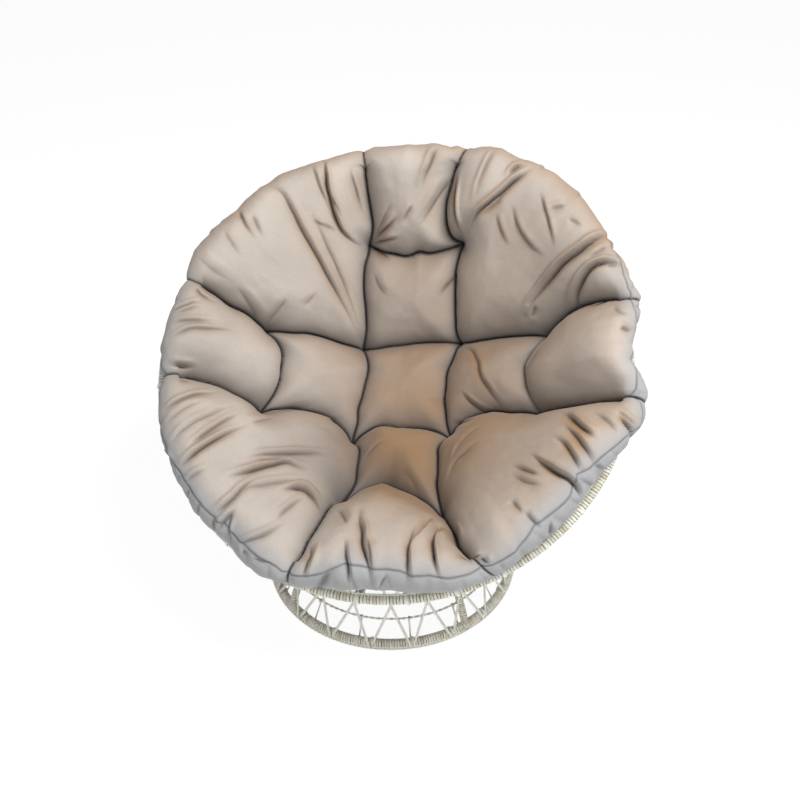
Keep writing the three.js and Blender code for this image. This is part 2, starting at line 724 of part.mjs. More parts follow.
function cushionShape() {
  const position = [];
  const index = [];
  const add = (x, y, z, shiftShare) => {
    position.push(x + cushionShiftX * shiftShare, y + cushionShiftY * shiftShare, z);
    return position.length / 3 - 1;
  };
  const rows = [];
  for (let j = 0; j <= gridSteps; j++) {
    rows.push([]);
    for (let i = 0; i <= gridSteps; i++) {
      const { x, y } = gridPoint(i, j);
      rows[j].push(add(x, y, topHeight(x, y), 1));
    }
  }
  for (let j = 0; j < gridSteps; j++) {
    for (let i = 0; i < gridSteps; i++) {
      const [a, b, c, d] = [rows[j][i], rows[j][i + 1], rows[j + 1][i + 1], rows[j + 1][i]];
      const sameSide = (i < gridSteps / 2) === (j < gridSteps / 2);
      if (sameSide) index.push(a, b, c, a, c, d);
      else index.push(a, b, d, b, c, d);
    }
  }
  let upper = [];
  for (let i = 0; i < gridSteps; i++) upper.push(rows[0][i]);
  for (let j = 0; j < gridSteps; j++) upper.push(rows[j][gridSteps]);
  for (let i = gridSteps; i > 0; i--) upper.push(rows[gridSteps][i]);
  for (let j = gridSteps; j > 0; j--) upper.push(rows[j][0]);
  const turnOf = (k) => Math.atan2(position[3 * k + 1] - cushionShiftY, position[3 * k] - cushionShiftX);
  const turns = upper.map(turnOf);
  for (const { radius, height, sinkShare, drawShare, shiftShare } of sideRings()) {
    const lower = turns.map((turn) => {
      const outer = onAxis(radius, height, turn);
      const pull = Math.exp(-creaseDistance(outer.x, outer.y) / creaseReach);
      const drawn = onAxis(radius - edgeDrawIn * pull * drawShare, 0, turn);
      return add(drawn.x, drawn.y, height - creaseDepth * pull * sinkShare, shiftShare);
    });
    joinRings(index, upper, lower);
    upper = lower;
  }
  let sparse = turns;
  for (const share of [2 / 3, 1 / 3]) {
    const radius = (rimRadius - underEdgeInset) * share;
    sparse = sparse.filter((_, k) => k % 2 === 0);
    const lower = sparse.map((turn) => {
      const point = onAxis(radius, underHeight(radius), turn);
      return add(point.x, point.y, point.z, 0);
    });
    joinRings(index, upper, lower);
    upper = lower;
  }
  const middle = add(0, 0, underHeight(0), 0);
  for (let k = 0; k < upper.length; k++) index.push(upper[k], middle, upper[(k + 1) % upper.length]);
  return closedSurface(position, index).rotateZ(cushionTurn * degrees);
}

// The chair: the base stands still, and the seat with its tilted bowl turns on it
const base = new THREE.Group();
buildRingsAndLegs(base);
buildBaseStrands(base);
buildHoopAndBinding(base);
buildSwivelBase(base);

const seat = new THREE.Group();
buildSwivelSeat(seat);
buildStays(seat);

const bowl = new THREE.Group();
bowl.rotation.x = bowlTilt * degrees;
bowl.position.set(0, rimSetback, rimHeight);
buildBowlFrame(bowl);
buildBowlLattice(bowl);
piece('seat_cushion', cushionShape(), fabric, bowl);
seat.add(bowl);

// The whole is moved so that the origin is under the middle of its box, on the floor
const chair = new THREE.Group();
chair.add(base, seat);
chair.updateMatrixWorld(true);
const box = new THREE.Box3().setFromObject(chair, true);
const middle = box.getCenter(new THREE.Vector3());
chair.position.set(-middle.x, -middle.y, -box.min.z);

const papasanChair = new THREE.Group();
papasanChair.add(chair);
export default papasanChair;
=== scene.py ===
"""A round wicker papasan chair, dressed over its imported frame.

Wound rings, laced strands, a steel swivel and one big tufted cushion. Metres, +Z up, the front towards -Y.
"""

import json
import logging
import math
from dataclasses import dataclass, field
from enum import Enum

import bpy
import numpy as np
from mathutils import Matrix, Vector
from mathutils.bvhtree import BVHTree
from mathutils.geometry import barycentric_transform


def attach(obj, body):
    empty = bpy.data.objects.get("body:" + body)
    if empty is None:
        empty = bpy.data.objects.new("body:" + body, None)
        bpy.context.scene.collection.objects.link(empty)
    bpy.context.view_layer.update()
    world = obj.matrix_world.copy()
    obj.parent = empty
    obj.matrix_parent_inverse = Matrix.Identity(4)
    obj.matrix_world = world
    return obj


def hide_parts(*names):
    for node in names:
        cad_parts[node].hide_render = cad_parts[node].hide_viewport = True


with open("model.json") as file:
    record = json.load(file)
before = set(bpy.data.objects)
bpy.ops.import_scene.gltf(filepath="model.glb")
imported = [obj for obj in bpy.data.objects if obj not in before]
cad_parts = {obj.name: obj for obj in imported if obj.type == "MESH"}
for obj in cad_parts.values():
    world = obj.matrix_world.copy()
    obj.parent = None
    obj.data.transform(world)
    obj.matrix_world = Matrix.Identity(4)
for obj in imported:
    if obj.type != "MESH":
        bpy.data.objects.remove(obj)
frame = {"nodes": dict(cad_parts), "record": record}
LOG = logging.getLogger("papasan_chair")
FULL_TURN = 2 * math.pi
# The photograph's width and the cushion's middle in its pixels, and how far its crops are enlarged.
PHOTO_SIDE = 800
CUSHION_MIDDLE = (402, 368)
CROP_ZOOM = 6.272
# The places of a line that lie closer together than this, in metres, count as one.
CLOSE_PLACES = 0.003
Meridian = tuple[np.ndarray, np.ndarray, np.ndarray, np.ndarray]


class Crop(Enum):
    """The enlarged crops of the photograph in which the cushion was traced, by their first pixel."""

    BACK_LEFT = (150, 130)
    BACK_RIGHT = (400, 130)
    FRONT_LEFT = (150, 350)
    FRONT_RIGHT = (400, 350)


BL, BR, FL, FR = Crop
Spot = tuple[Crop, int, int]
Fold = tuple[float, float, tuple[tuple[int, int], ...]]


class Tuft(Enum):
    """The sewn tufts: the crop and the place in its enlarged pixels."""

    BACK_LEFT = (BL, 1378, 735)
    BACK_RIGHT = (BR, 375, 725)
    RIGHT_BACK = (BR, 890, 1280)
    RIGHT_FRONT = (FR, 848, 375)
    FRONT_RIGHT = (FR, 245, 980)
    FRONT_LEFT = (FL, 1200, 925)
    LEFT_FRONT = (FL, 722, 360)
    LEFT_BACK = (BL, 765, 1250)
    MIDDLE_BACK_LEFT = (BL, 1352, 1372)
    MIDDLE_BACK_RIGHT = (BR, 365, 1335)
    MIDDLE_FRONT_RIGHT = (FR, 300, 520)
    MIDDLE_FRONT_LEFT = (FL, 1285, 555)


# The creases between the panels, as they were traced. Those called an edge run on round the edge.
CREASES: dict[str, tuple[Spot | Tuft, ...]] = {
    "back left edge": ((BL, 1350, 170), (BL, 1358, 330), (BL, 1385, 500), (BL, 1402, 620), Tuft.BACK_LEFT),
    "back right edge": ((BR, 420, 140), (BR, 335, 270), (BR, 290, 420), (BR, 285, 580), (BR, 320, 680),
        Tuft.BACK_RIGHT),
    "right back edge": (Tuft.RIGHT_BACK, (BR, 980, 1205), (BR, 1080, 1120), (BR, 1200, 1082),
        (BR, 1360, 1070), (BR, 1450, 1085)),
    "right front edge": (Tuft.RIGHT_FRONT, (FR, 1000, 355), (FR, 1180, 330), (FR, 1300, 312),
        (FR, 1500, 325)),
    "left back edge": ((BL, 225, 940), (BL, 320, 975), (BL, 420, 1040), (BL, 490, 1090), (BL, 600, 1140),
        (BL, 700, 1210), Tuft.LEFT_BACK),
    "left front edge": ((FL, 150, 165), (FL, 330, 190), (FL, 430, 220), (FL, 560, 282), Tuft.LEFT_FRONT),
    "front left edge": (Tuft.FRONT_LEFT, (FL, 1130, 960), (FL, 1060, 1080), (FL, 990, 1200),
        (FL, 920, 1330), (FL, 880, 1420)),
    "front right edge": (Tuft.FRONT_RIGHT, (FR, 300, 1060), (FR, 345, 1170), (FR, 395, 1265),
        (FR, 500, 1345), (FR, 620, 1390)),
    "back square left": (Tuft.BACK_LEFT, (BL, 1348, 850), (BL, 1340, 1000), (BL, 1358, 1150),
        Tuft.MIDDLE_BACK_LEFT),
    "back square right": (Tuft.BACK_RIGHT, (BR, 350, 830), (BR, 342, 1000), (BR, 350, 1200),
        Tuft.MIDDLE_BACK_RIGHT),
    "back square top": (Tuft.BACK_LEFT, (BL, 1470, 770), (BR, 0, 788), (BR, 60, 788), (BR, 120, 762),
        (BR, 185, 775), Tuft.BACK_RIGHT),
    "left square top": (Tuft.LEFT_BACK, (BL, 900, 1265), (BL, 1050, 1290), (BL, 1200, 1345),
        Tuft.MIDDLE_BACK_LEFT),
    "left square bottom": (Tuft.LEFT_FRONT, (FL, 850, 355), (FL, 960, 370), (FL, 1100, 410),
        (FL, 1200, 475), Tuft.MIDDLE_FRONT_LEFT),
    "left square side": (Tuft.LEFT_BACK, (BL, 820, 1350), (FL, 833, 60), (FL, 820, 170), (FL, 780, 270),
        Tuft.LEFT_FRONT),
    "right square top": (Tuft.MIDDLE_BACK_RIGHT, (BR, 430, 1328), (BR, 600, 1305), (BR, 800, 1280),
        Tuft.RIGHT_BACK),
    "right square bottom": (Tuft.MIDDLE_FRONT_RIGHT, (FR, 400, 440), (FR, 520, 395), (FR, 640, 385),
        (FR, 750, 392), Tuft.RIGHT_FRONT),
    "right square side": (Tuft.RIGHT_BACK, (BR, 860, 1360), (BR, 808, 1480), (FR, 800, 130), (FR, 820, 250),
        Tuft.RIGHT_FRONT),
    "middle left": (Tuft.MIDDLE_BACK_LEFT, (BL, 1372, 1450), (FL, 1358, 180), (FL, 1310, 350),
        Tuft.MIDDLE_FRONT_LEFT),
    "middle right": (Tuft.MIDDLE_BACK_RIGHT, (BR, 328, 1430), (FR, 300, 150), (FR, 285, 300),
        (FR, 290, 450), Tuft.MIDDLE_FRONT_RIGHT),
    "middle top": (Tuft.MIDDLE_BACK_LEFT, (BL, 1568, 1350), (BR, 180, 1332), Tuft.MIDDLE_BACK_RIGHT),
    "middle bottom": (Tuft.MIDDLE_FRONT_LEFT, (FL, 1350, 510), (FL, 1440, 482), (FL, 1568, 488),
        (FR, 150, 498), Tuft.MIDDLE_FRONT_RIGHT),
    "front square left": (Tuft.MIDDLE_FRONT_LEFT, (FL, 1315, 630), (FL, 1302, 720), (FL, 1285, 850),
        Tuft.FRONT_LEFT),
    "front square right": (Tuft.MIDDLE_FRONT_RIGHT, (FR, 245, 600), (FR, 235, 700), (FR, 230, 850),
        Tuft.FRONT_RIGHT),
    "front square bottom": (Tuft.FRONT_LEFT, (FL, 1290, 878), (FL, 1380, 857), (FL, 1475, 835),
        (FR, 0, 878), (FR, 100, 910), (FR, 190, 955), Tuft.FRONT_RIGHT),
}
# The creases that are shallower than the others, by their share of the depth.
SOFT_CREASES: dict[str, float] = {"right square side": 0.6}

# The folds traced in each crop: depth and width in millimetres, and places in its enlarged pixels.
FOLDS: dict[Crop, tuple[Fold, ...]] = {
    Crop.BACK_LEFT: (
        (8, 5, ((1095, 210), (1110, 350), (1150, 520), (1205, 645), (1300, 730), (1372, 745))),
        (3, 5, ((1020, 240), (1075, 390), (1140, 540))),
        (4, 6, ((1258, 240), (1300, 420), (1365, 570))),
        (3, 4, ((1120, 400), (1210, 545))),
        (5, 7, ((750, 360), (830, 385), (890, 500), (960, 640), (1060, 830), (1160, 1000), (1260, 1180),
            (1345, 1330))),
        (2.5, 7, ((1000, 480), (1090, 700), (1190, 900), (1290, 1150), (1345, 1310))),
        (2, 5, ((1010, 560), (1190, 640))),
        (4, 5, ((560, 515), (600, 600), (660, 700))),
        (2.5, 5, ((640, 540), (700, 680))),
        (2, 6, ((470, 640), (560, 800))),
        (4, 5, ((270, 965), (350, 1045), (460, 1085))),
        (2.5, 8, ((560, 980), (680, 1110), (760, 1230))),
        (2.5, 8, ((860, 1050), (800, 1150), (770, 1235))),
        (3, 5, ((150, 1150), (230, 1100), (350, 1065))),
        (2.5, 5, ((170, 1165), (350, 1105))),
        (3, 5, ((150, 1225), (300, 1205), (430, 1190))),
        (3, 5, ((130, 1320), (290, 1245), (420, 1255), (570, 1250))),
        (6, 5, ((110, 1475), (180, 1457), (330, 1470))),
        (3, 5, ((180, 1540), (280, 1560))),
        (5, 5, ((1400, 715), (1480, 620), (1568, 530))),
        (5, 5, ((1400, 735), (1480, 700), (1568, 675))),
        (4, 6, ((1400, 745), (1510, 830))),
        (3, 6, ((1410, 700), (1450, 580), (1530, 450))),
        (2, 9, ((1400, 900), (1440, 1000), (1500, 1050))),
        (2, 7, ((960, 1110), (1050, 1010))),
        (1.5, 12, ((300, 800), (420, 900), (560, 960))),
    ),
    Crop.BACK_RIGHT: (
        (7, 5, ((345, 280), (325, 420), (332, 580), (375, 715))),
        (5, 7, ((240, 120), (170, 260), (130, 400))),
        (4, 9, ((300, 300), (200, 480), (110, 620))),
        (3, 6, ((80, 460), (20, 560), (0, 600))),
        (3, 5, ((590, 130), (530, 240), (500, 330), (470, 450))),
        (7, 6, ((830, 250), (720, 330), (600, 430), (500, 500), (430, 620), (385, 710))),
        (5, 5, ((760, 215), (700, 260), (680, 310))),
        (3, 6, ((640, 420), (560, 490), (500, 540))),
        (2.5, 5, ((600, 520), (640, 640), (700, 740))),
        (3, 5, ((705, 480), (740, 600), (830, 740), (940, 810))),
        (3, 5, ((880, 400), (930, 540), (950, 660), (985, 760))),
        (2.5, 5, ((1040, 480), (930, 520))),
        (2, 5, ((1060, 560), (1150, 620))),
        (9, 7, ((1310, 665), (1180, 730), (1050, 820), (950, 930), (850, 1040), (780, 1150), (720, 1210))),
        (9, 6, ((1380, 860), (1260, 835), (1170, 890), (1080, 1010), (1010, 1120), (950, 1200))),
        (3, 4, ((1290, 855), (1370, 862))),
        (3, 6, ((830, 1100), (790, 1180))),
        (4, 5, ((1240, 1040), (1180, 1075), (1110, 1110))),
        (4, 5, ((1370, 1240), (1450, 1275))),
        (3, 5, ((1300, 740), (1170, 830))),
        (4, 5, ((340, 890), (280, 970), (230, 1050))),
        (3, 7, ((365, 1340), (440, 1380), (490, 1450), (510, 1568))),
        (2, 8, ((760, 1500), (820, 1400), (870, 1330))),
        (2.5, 6, ((1320, 1090), (1380, 1150), (1450, 1180))),
    ),
    Crop.FRONT_LEFT: (
        (4, 5, ((90, 390), (180, 330), (300, 275), (420, 250), (500, 255))),
        (2.5, 7, ((100, 480), (220, 380), (360, 310))),
        (3, 7, ((130, 600), (260, 480), (420, 390), (560, 330))),
        (4, 5, ((240, 620), (360, 520), (480, 440), (590, 380))),
        (6, 6, ((190, 750), (300, 640), (420, 560), (540, 510), (640, 460))),
        (2.5, 8, ((620, 470), (740, 420), (820, 390))),
        (4, 6, ((600, 690), (760, 655), (900, 655), (1150, 660))),
        (6, 6, ((480, 805), (620, 770), (740, 730), (840, 705), (900, 735), (1020, 770))),
        (3, 7, ((640, 700), (760, 700), (860, 680))),
        (5, 6, ((410, 1030), (520, 950), (590, 860), (700, 800))),
        (3, 6, ((560, 880), (700, 850), (860, 825), (980, 830))),
        (6, 6, ((820, 880), (960, 855), (1040, 895), (1120, 955))),
        (3, 5, ((790, 1070), (870, 980), (980, 905))),
        (4, 5, ((560, 1210), (680, 1180), (780, 1130), (870, 1070))),
        (5, 6, ((440, 1130), (490, 1050), (550, 980))),
        (5, 5, ((100, 620), (170, 720))),
        (3, 6, ((230, 830), (300, 780), (380, 740))),
        (6, 6, ((960, 1420), (980, 1330), (1010, 1240), (1020, 1200))),
        (4, 6, ((1020, 1150), (1010, 1300), (1000, 1400))),
        (7, 6, ((1250, 1450), (1240, 1330), (1220, 1230), (1210, 1180))),
        (9, 6, ((1395, 1420), (1350, 1300), (1330, 1150), (1300, 980))),
        (5, 6, ((1370, 1200), (1390, 1340), (1400, 1400))),
        (4, 9, ((1240, 1100), (1200, 980), (1150, 960))),
        (4, 5, ((500, 1180), (490, 1100), (520, 1010))),
        (3, 5, ((590, 1290), (600, 1230))),
        (3, 6, ((650, 1300), (760, 1350))),
        (4, 6, ((1440, 1480), (1470, 1420), (1500, 1400))),
        (3, 7, ((740, 345), (860, 330), (1000, 320), (1060, 290))),
        (2.5, 6, ((1130, 400), (1220, 400))),
        (3, 6, ((1330, 650), (1400, 590), (1480, 560))),
    ),
    Crop.FRONT_RIGHT: (
        (8, 6, ((190, 1010), (150, 1100), (85, 1190), (70, 1250))),
        (8, 6, ((45, 1440), (48, 1300), (70, 1150), (120, 1090))),
        (9, 5, ((235, 1420), (205, 1260), (205, 1130), (240, 1020))),
        (4, 5, ((230, 1130), (250, 1030))),
        (5, 6, ((280, 1010), (330, 1090), (350, 1160))),
        (4, 6, ((350, 1220), (440, 1310), (470, 1380))),
        (5, 5, ((440, 1270), (510, 1275))),
        (5, 6, ((520, 1300), (560, 1350))),
        (9, 6, ((1125, 930), (1080, 830), (960, 760), (870, 700), (815, 650))),
        (5, 7, ((1120, 760), (1090, 670), (1050, 610), (960, 540))),
        (5, 7, ((1210, 720), (1160, 620), (1090, 520), (1010, 440))),
        (6, 7, ((1230, 560), (1130, 480), (1050, 410), (980, 365))),
        (3, 7, ((1350, 530), (1300, 450), (1180, 370))),
        (6, 5, ((1450, 530), (1410, 460), (1365, 390))),
        (3, 5, ((1360, 370), (1440, 440), (1480, 490))),
        (3, 6, ((880, 790), (780, 770), (700, 740))),
        (2.5, 7, ((900, 860), (790, 840), (690, 790))),
        (3, 6, ((280, 790), (340, 700), (440, 640), (520, 560))),
        (2.5, 6, ((300, 720), (380, 600), (480, 500), (560, 440))),
        (3, 7, ((490, 50), (500, 150), (560, 280), (620, 350))),
        (3, 5, ((380, 260), (440, 330), (560, 370))),
        (2.5, 5, ((300, 400), (400, 420), (480, 400))),
        (4, 6, ((780, 1030), (850, 1090), (890, 1120))),
        (3, 6, ((700, 960), (780, 1050))),
        (4, 6, ((930, 1160), (940, 1080), (960, 1060))),
        (3, 6, ((1280, 270), (1400, 270), (1480, 280))),
        (2, 9, ((0, 740), (70, 760), (110, 840))),
    ),
}
# The outline: direction in degrees and how far it is drawn in, in thousandths.
OUTLINE: tuple[tuple[int, int], ...] = (
    (-170, 10), (-165, 0), (-158, -8), (-150, -20), (-135, -34), (-125, -28), (-118, -56), (-110, -68),
    (-100, -12), (-92, 12), (-86, 12), (-78, -14), (-70, -26), (-63, -38), (-56, -14), (-42, -8), (-35, 6),
    (-28, -4), (-20, -32), (-14, -50), (-9, -48), (-5, -16), (-2, 20), (3, 26), (9, -8), (15, -46), (20, -16),
    (30, -20), (40, -30), (50, -50), (55, -50), (62, -38), (70, -34), (82, 20), (95, 32), (104, 26),
    (113, 40), (125, 6), (140, 24), (155, -2), (165, 22), (175, 26), (182, 18),
)
# The upper seam where it shows, as it was traced.
SEEN_SEAM: tuple[Spot, ...] = (
    (FL, 230, 830), (FL, 300, 930), (FL, 390, 1030), (FL, 500, 1130), (FL, 600, 1225), (FL, 700, 1310),
    (FL, 780, 1365), (FL, 870, 1430), (FL, 970, 1420), (FL, 1080, 1400), (FL, 1220, 1340), (FL, 1400, 1370),
    (FL, 1568, 1385), (FR, 60, 1410), (FR, 180, 1410), (FR, 300, 1425), (FR, 440, 1410), (FR, 590, 1355),
    (FR, 720, 1260), (FR, 840, 1100), (FR, 900, 1060), (FR, 1060, 920), (FR, 1110, 780), (FR, 1180, 745),
    (FR, 1270, 660), (FR, 1400, 550), (FR, 1470, 500), (FR, 1520, 490), (FR, 1520, 330), (FR, 1480, 270),
    (FR, 1485, 180), (FR, 1470, 0), (BR, 1465, 1290), (BR, 1470, 1090), (BR, 1440, 980), (BR, 1380, 870),
)
# Its hidden side, a guess: direction in degrees and reach in millimetres.
HIDDEN_SEAM: tuple[tuple[int, int], ...] = (
    (-165, 535), (-150, 530), (40, 552), (90, 556), (150, 552), (200, 548),
)


class Body(Enum):
    """The two bodies of the frame: what stands, and what turns on it."""

    BASE = "base"
    SEAT = "seat"


class Slot(Enum):
    """The record's material slots that new pieces take."""

    WICKER = "pale_wicker"
    STEEL = "black_steel"
    FABRIC = "cushion_fabric"


class Side(Enum):
    """The side of two rings on which a laced strand runs."""

    OUTER = 1
    INNER = -1


def tone(red: int, green: int, blue: int) -> tuple[float, float, float, float]:
    """Turns a colour of 0 to 255 a channel into Blender's linear colour.

    Args:
        red: The red channel.
        green: The green channel.
        blue: The blue channel.

    Returns:
        The linear colour with full alpha.
    """
    shares = [channel / 255 for channel in (red, green, blue)]
    linear = [share / 12.92 if share <= 0.04045 else ((share + 0.055) / 1.055) ** 2.4 for share in shares]
    return (linear[0], linear[1], linear[2], 1.0)


class NodeBench:
    """Adds and joins the nodes of one tree."""

    def __init__(self, tree: bpy.types.NodeTree) -> None:
        """Keeps the tree, emptied."""
        self.tree = tree
        tree.nodes.clear()

    def add(self, kind: str, inputs: dict[str, object] | None = None, **settings: object) -> bpy.types.Node:
        """Adds a node.

        Args:
            kind: The node's type.
            inputs: Values or output sockets for its inputs, by the sockets' names.
            settings: Values for the node's own settings.

        Returns:
            The new node.
        """
        node = self.tree.nodes.new(kind)
        for name, value in settings.items():
            setattr(node, name, value)
        for name, value in (inputs or {}).items():
            socket = next(one for one in node.inputs if one.name == name and one.enabled)
            self.feed(socket, value)
        return node

    @staticmethod
    def result(node: bpy.types.Node) -> bpy.types.NodeSocket:
        """Returns the first output that a node's settings leave in use."""
        return next(one for one in node.outputs if one.enabled)

    def feed(self, socket: bpy.types.NodeSocket, value: object) -> None:
        """Sets a socket's value, or links an output to it.

        Args:
            socket: The input socket.
            value: A plain value, or the output socket to link.
        """
        if isinstance(value, bpy.types.NodeSocket):
            self.tree.links.new(value, socket)
        else:
            socket.default_value = value

    def math(self, operation: str, *values: object) -> bpy.types.NodeSocket:
        """Returns the result of a Math node that takes the values in order."""
        node = self.add("ShaderNodeMath", operation=operation)
        for socket, value in zip(node.inputs, values):
            self.feed(socket, value)
        return node.outputs[0]


class MaterialBench(NodeBench):
    """The nodes of a new material, whose textures lie in the object's own coordinates."""

    def __init__(self, name: str) -> None:
        """Makes the material."""
        self.material = bpy.data.materials.new(name)
        self.material.use_nodes = True
        super().__init__(self.material.node_tree)
        self.place = self.add("ShaderNodeTexCoord").outputs["Object"]

    def noise(self, scale: float, detail: float, roughness: float = 0.5) -> bpy.types.NodeSocket:
        """Returns the values of a noise texture."""
        return self.add("ShaderNodeTexNoise", {
            "Vector": self.place, "Scale": scale, "Detail": detail, "Roughness": roughness,
        }).outputs["Fac"]

    def ramp(self, value: bpy.types.NodeSocket, *stops: tuple[float, tuple]) -> bpy.types.NodeSocket:
        """Returns the colours that a ramp gives a value, from stops with a position and a colour."""
        node = self.add("ShaderNodeValToRGB", {"Fac": value})
        elements = node.color_ramp.elements
        for element, stop in ((elements[0], stops[0]), (elements[-1], stops[-1])):
            element.position, element.color = stop
        for position, colour in stops[1:-1]:
            elements.new(position).color = colour
        return node.outputs["Color"]

    def spread(self, value: bpy.types.NodeSocket, low: float, high: float, least: float = 0.0,
               most: float = 1.0) -> bpy.types.NodeSocket:
        """Spreads a value that runs from its least to its most between a low and a high end."""
        return self.add("ShaderNodeMapRange", {
            "Value": value, "From Min": least, "From Max": most, "To Min": low, "To Max": high,
        }).outputs[0]

    def bump(self, height: bpy.types.NodeSocket, strength: float, depth: float) -> bpy.types.NodeSocket:
        """Returns the normals of a small relief."""
        return self.add("ShaderNodeBump", {
            "Height": height, "Strength": strength, "Distance": depth,
        }).outputs[0]

    def finish(self, inputs: dict[str, object]) -> bpy.types.Material:
        """Ends the nodes in a shader with these inputs, and returns the material."""
        shader = self.add("ShaderNodeBsdfPrincipled", inputs)
        self.add("ShaderNodeOutputMaterial", {"Surface": shader.outputs[0]})
        return self.material


# Finishes


@dataclass(frozen=True)
class WickerFinish:
    """Flat pale synthetic wicker: each turn has a tone of its own, with fine grain and soft wear."""

    name: str = "pale_wicker_strand"
    dark: tuple[int, int, int] = (212, 206, 183)
    middle: tuple[int, int, int] = (231, 227, 210)
    light: tuple[int, int, int] = (240, 237, 224)
    pale: tuple[int, int, int] = (248, 246, 238)
    roughness: float = 0.55
    grain_scale: float = 420.0
    grain_depth: float = 0.00035

    def build(self) -> bpy.types.Material:
        """Returns the material."""
        bench = MaterialBench(self.name)
        tint = bench.add("ShaderNodeAttribute", attribute_name="strand_tint").outputs["Fac"]
        grain, patches = bench.noise(self.grain_scale, 4.0, 0.6), bench.noise(38.0, 2.0)
        mixed = bench.math("MULTIPLY_ADD", patches, 0.45, tint)
        grained = bench.math("MULTIPLY_ADD", grain, 0.35, mixed)
        return bench.finish({
            "Base Color": bench.ramp(grained, (0.45, tone(*self.dark)), (0.62, tone(*self.middle)),
                                     (0.85, tone(*self.light)), (1.0, tone(*self.pale))),
            "Roughness": bench.spread(patches, self.roughness - 0.1, self.roughness + 0.12),
            "Normal": bench.bump(grain, 0.35, self.grain_depth),
        })


@dataclass(frozen=True)
class GapFinish:
    """What shows between two turns: the coated tube under the winding, coloured dark as painted shade."""

    name: str = "tube_between_turns"
    # Painted shade: the dark tone of the gaps between turns.
    colour: tuple[int, int, int] = (72, 66, 52)
    roughness: float = 0.8

    def build(self) -> bpy.types.Material:
        """Returns the material."""
        bench = MaterialBench(self.name)
        # The painted shade, mottled darker and paler.
        deep_gap_shade, pale_gap_shade = (tone(*(int(channel * share) for channel in self.colour)) for share in (0.7, 1.35))
        return bench.finish({
            "Base Color": bench.ramp(bench.noise(160.0, 3.0), (0.0, deep_gap_shade), (1.0, pale_gap_shade)),
            "Roughness": self.roughness,
        })


@dataclass(frozen=True)
class MetalFinish:
    """Coated or plated steel with fine texture and faint scuffs."""

    name: str
    colour: tuple[int, int, int]
    scuff: tuple[int, int, int]
    metallic: float
    roughness: float
    texture_scale: float
    texture_depth: float

    def build(self) -> bpy.types.Material:
        """Returns the material."""
        bench = MaterialBench(self.name)
        texture, scuffs = bench.noise(self.texture_scale, 3.0), bench.noise(55.0, 6.0, 0.7)
        return bench.finish({
            "Base Color": bench.ramp(scuffs, (0.55, tone(*self.colour)), (0.75, tone(*self.scuff))),
            "Roughness": bench.spread(scuffs, self.roughness - 0.08, self.roughness + 0.16),
            "Metallic": self.metallic, "Normal": bench.bump(texture, 0.3, self.texture_depth),
        })


@dataclass(frozen=True)
class FabricFinish:
    """Plain woven cloth, warm grey where it is full, with painted shade: warm tan in the hollows and where it
    faces back, grey by creases and tufts, cooler grey on the edge band and near-black in crease and fold
    valleys. Seams are near-black.
    """

    name: str = "taupe_plain_weave"
    lit: tuple[int, int, int] = (196, 186, 176)
    # Painted warm shade: tan, for the hollows and the cloth that faces back.
    painted_warm_shade: tuple[int, int, int] = (154, 120, 84)
    # Painted grey shade, by creases and tufts and where the cloth faces front.
    painted_grey_shade: tuple[int, int, int] = (114, 109, 106)
    # A cooler grey on the edge band, painted as its shade.
    band: tuple[int, int, int] = (166, 166, 167)
    # Near-black for the seam lines, and painted shade in crease and fold valleys.
    seam: tuple[int, int, int] = (30, 24, 22)
    thread_pitch: float = 0.0016
    thread_depth: float = 0.00025
    roughness: float = 0.9

    def build(self) -> bpy.types.Material:
        """Returns the material."""
        bench = MaterialBench(self.name)
        cloudy, slubs = bench.noise(9.0, 3.0), bench.noise(260.0, 3.0)
        colour: object = tone(*self.lit)
        # Painted shade: each mask draws the lit colour towards one of these colours.
        shades = (("painted_warm_shade", self.painted_warm_shade), ("painted_grey_shade", self.painted_grey_shade), ("band", self.band), ("seam", self.seam))
        for name, shade in shades:
            mask = bench.add("ShaderNodeAttribute", attribute_name=name)
            colour = self.blend(bench, mask.outputs["Fac"], colour, tone(*shade))
        for noise, share in ((cloudy, 0.08), (slubs, 0.05)):
            product = bench.add("ShaderNodeVectorMath", operation="SCALE")
            bench.feed(product.inputs[0], colour)
            level = bench.spread(noise, 1 - share, 1 + share / 2, least=0.3, most=0.7)
            bench.feed(product.inputs["Scale"], level)
            colour = product.outputs[0]
        return bench.finish({
            "Base Color": colour, "Roughness": self.roughness,
            "Normal": bench.bump(self.weave(bench), 0.5, self.thread_depth),
            "Sheen Weight": 0.15, "Sheen Roughness": 0.5,
        })

    @staticmethod
    def blend(bench: NodeBench, share: bpy.types.NodeSocket, first: object,
              second: object) -> bpy.types.NodeSocket:
        """Mixes two colours.

        Args:
            bench: The material's nodes.
            share: How much of the second colour.
            first: The first colour, or a socket that gives it.
            second: The second colour, or a socket that gives it.

        Returns:
            The socket with the mixed colour.
        """
        mix = bench.add("ShaderNodeMix", {"Factor": share}, data_type="RGBA")
        bench.feed(next(one for one in mix.inputs if one.name == "A" and one.enabled), first)
        bench.feed(next(one for one in mix.inputs if one.name == "B" and one.enabled), second)
        return next(one for one in mix.outputs if one.enabled)

    def weave(self, bench: MaterialBench) -> bpy.types.NodeSocket:
        """Makes the height of a plain weave that looks alike on every side of the cushion.

        Args:
            bench: The material's nodes.

        Returns:
            The socket with the height, from 0 to 1.
        """
        parts = bench.add("ShaderNodeSeparateXYZ", {"Vector": bench.place})
        rate = FULL_TURN / 2 / self.thread_pitch
        waves = [bench.math("SINE", bench.math("MULTIPLY", parts.outputs[axis], rate)) for axis in "XYZ"]
        crossings = [bench.math("MULTIPLY", waves[axis], waves[(axis + 1) % 3]) for axis in range(3)]
        total = bench.math("ADD", bench.math("ADD", *crossings[:2]), crossings[2])
        return bench.spread(total, 0.0, 1.0, least=-1.5, most=1.5)


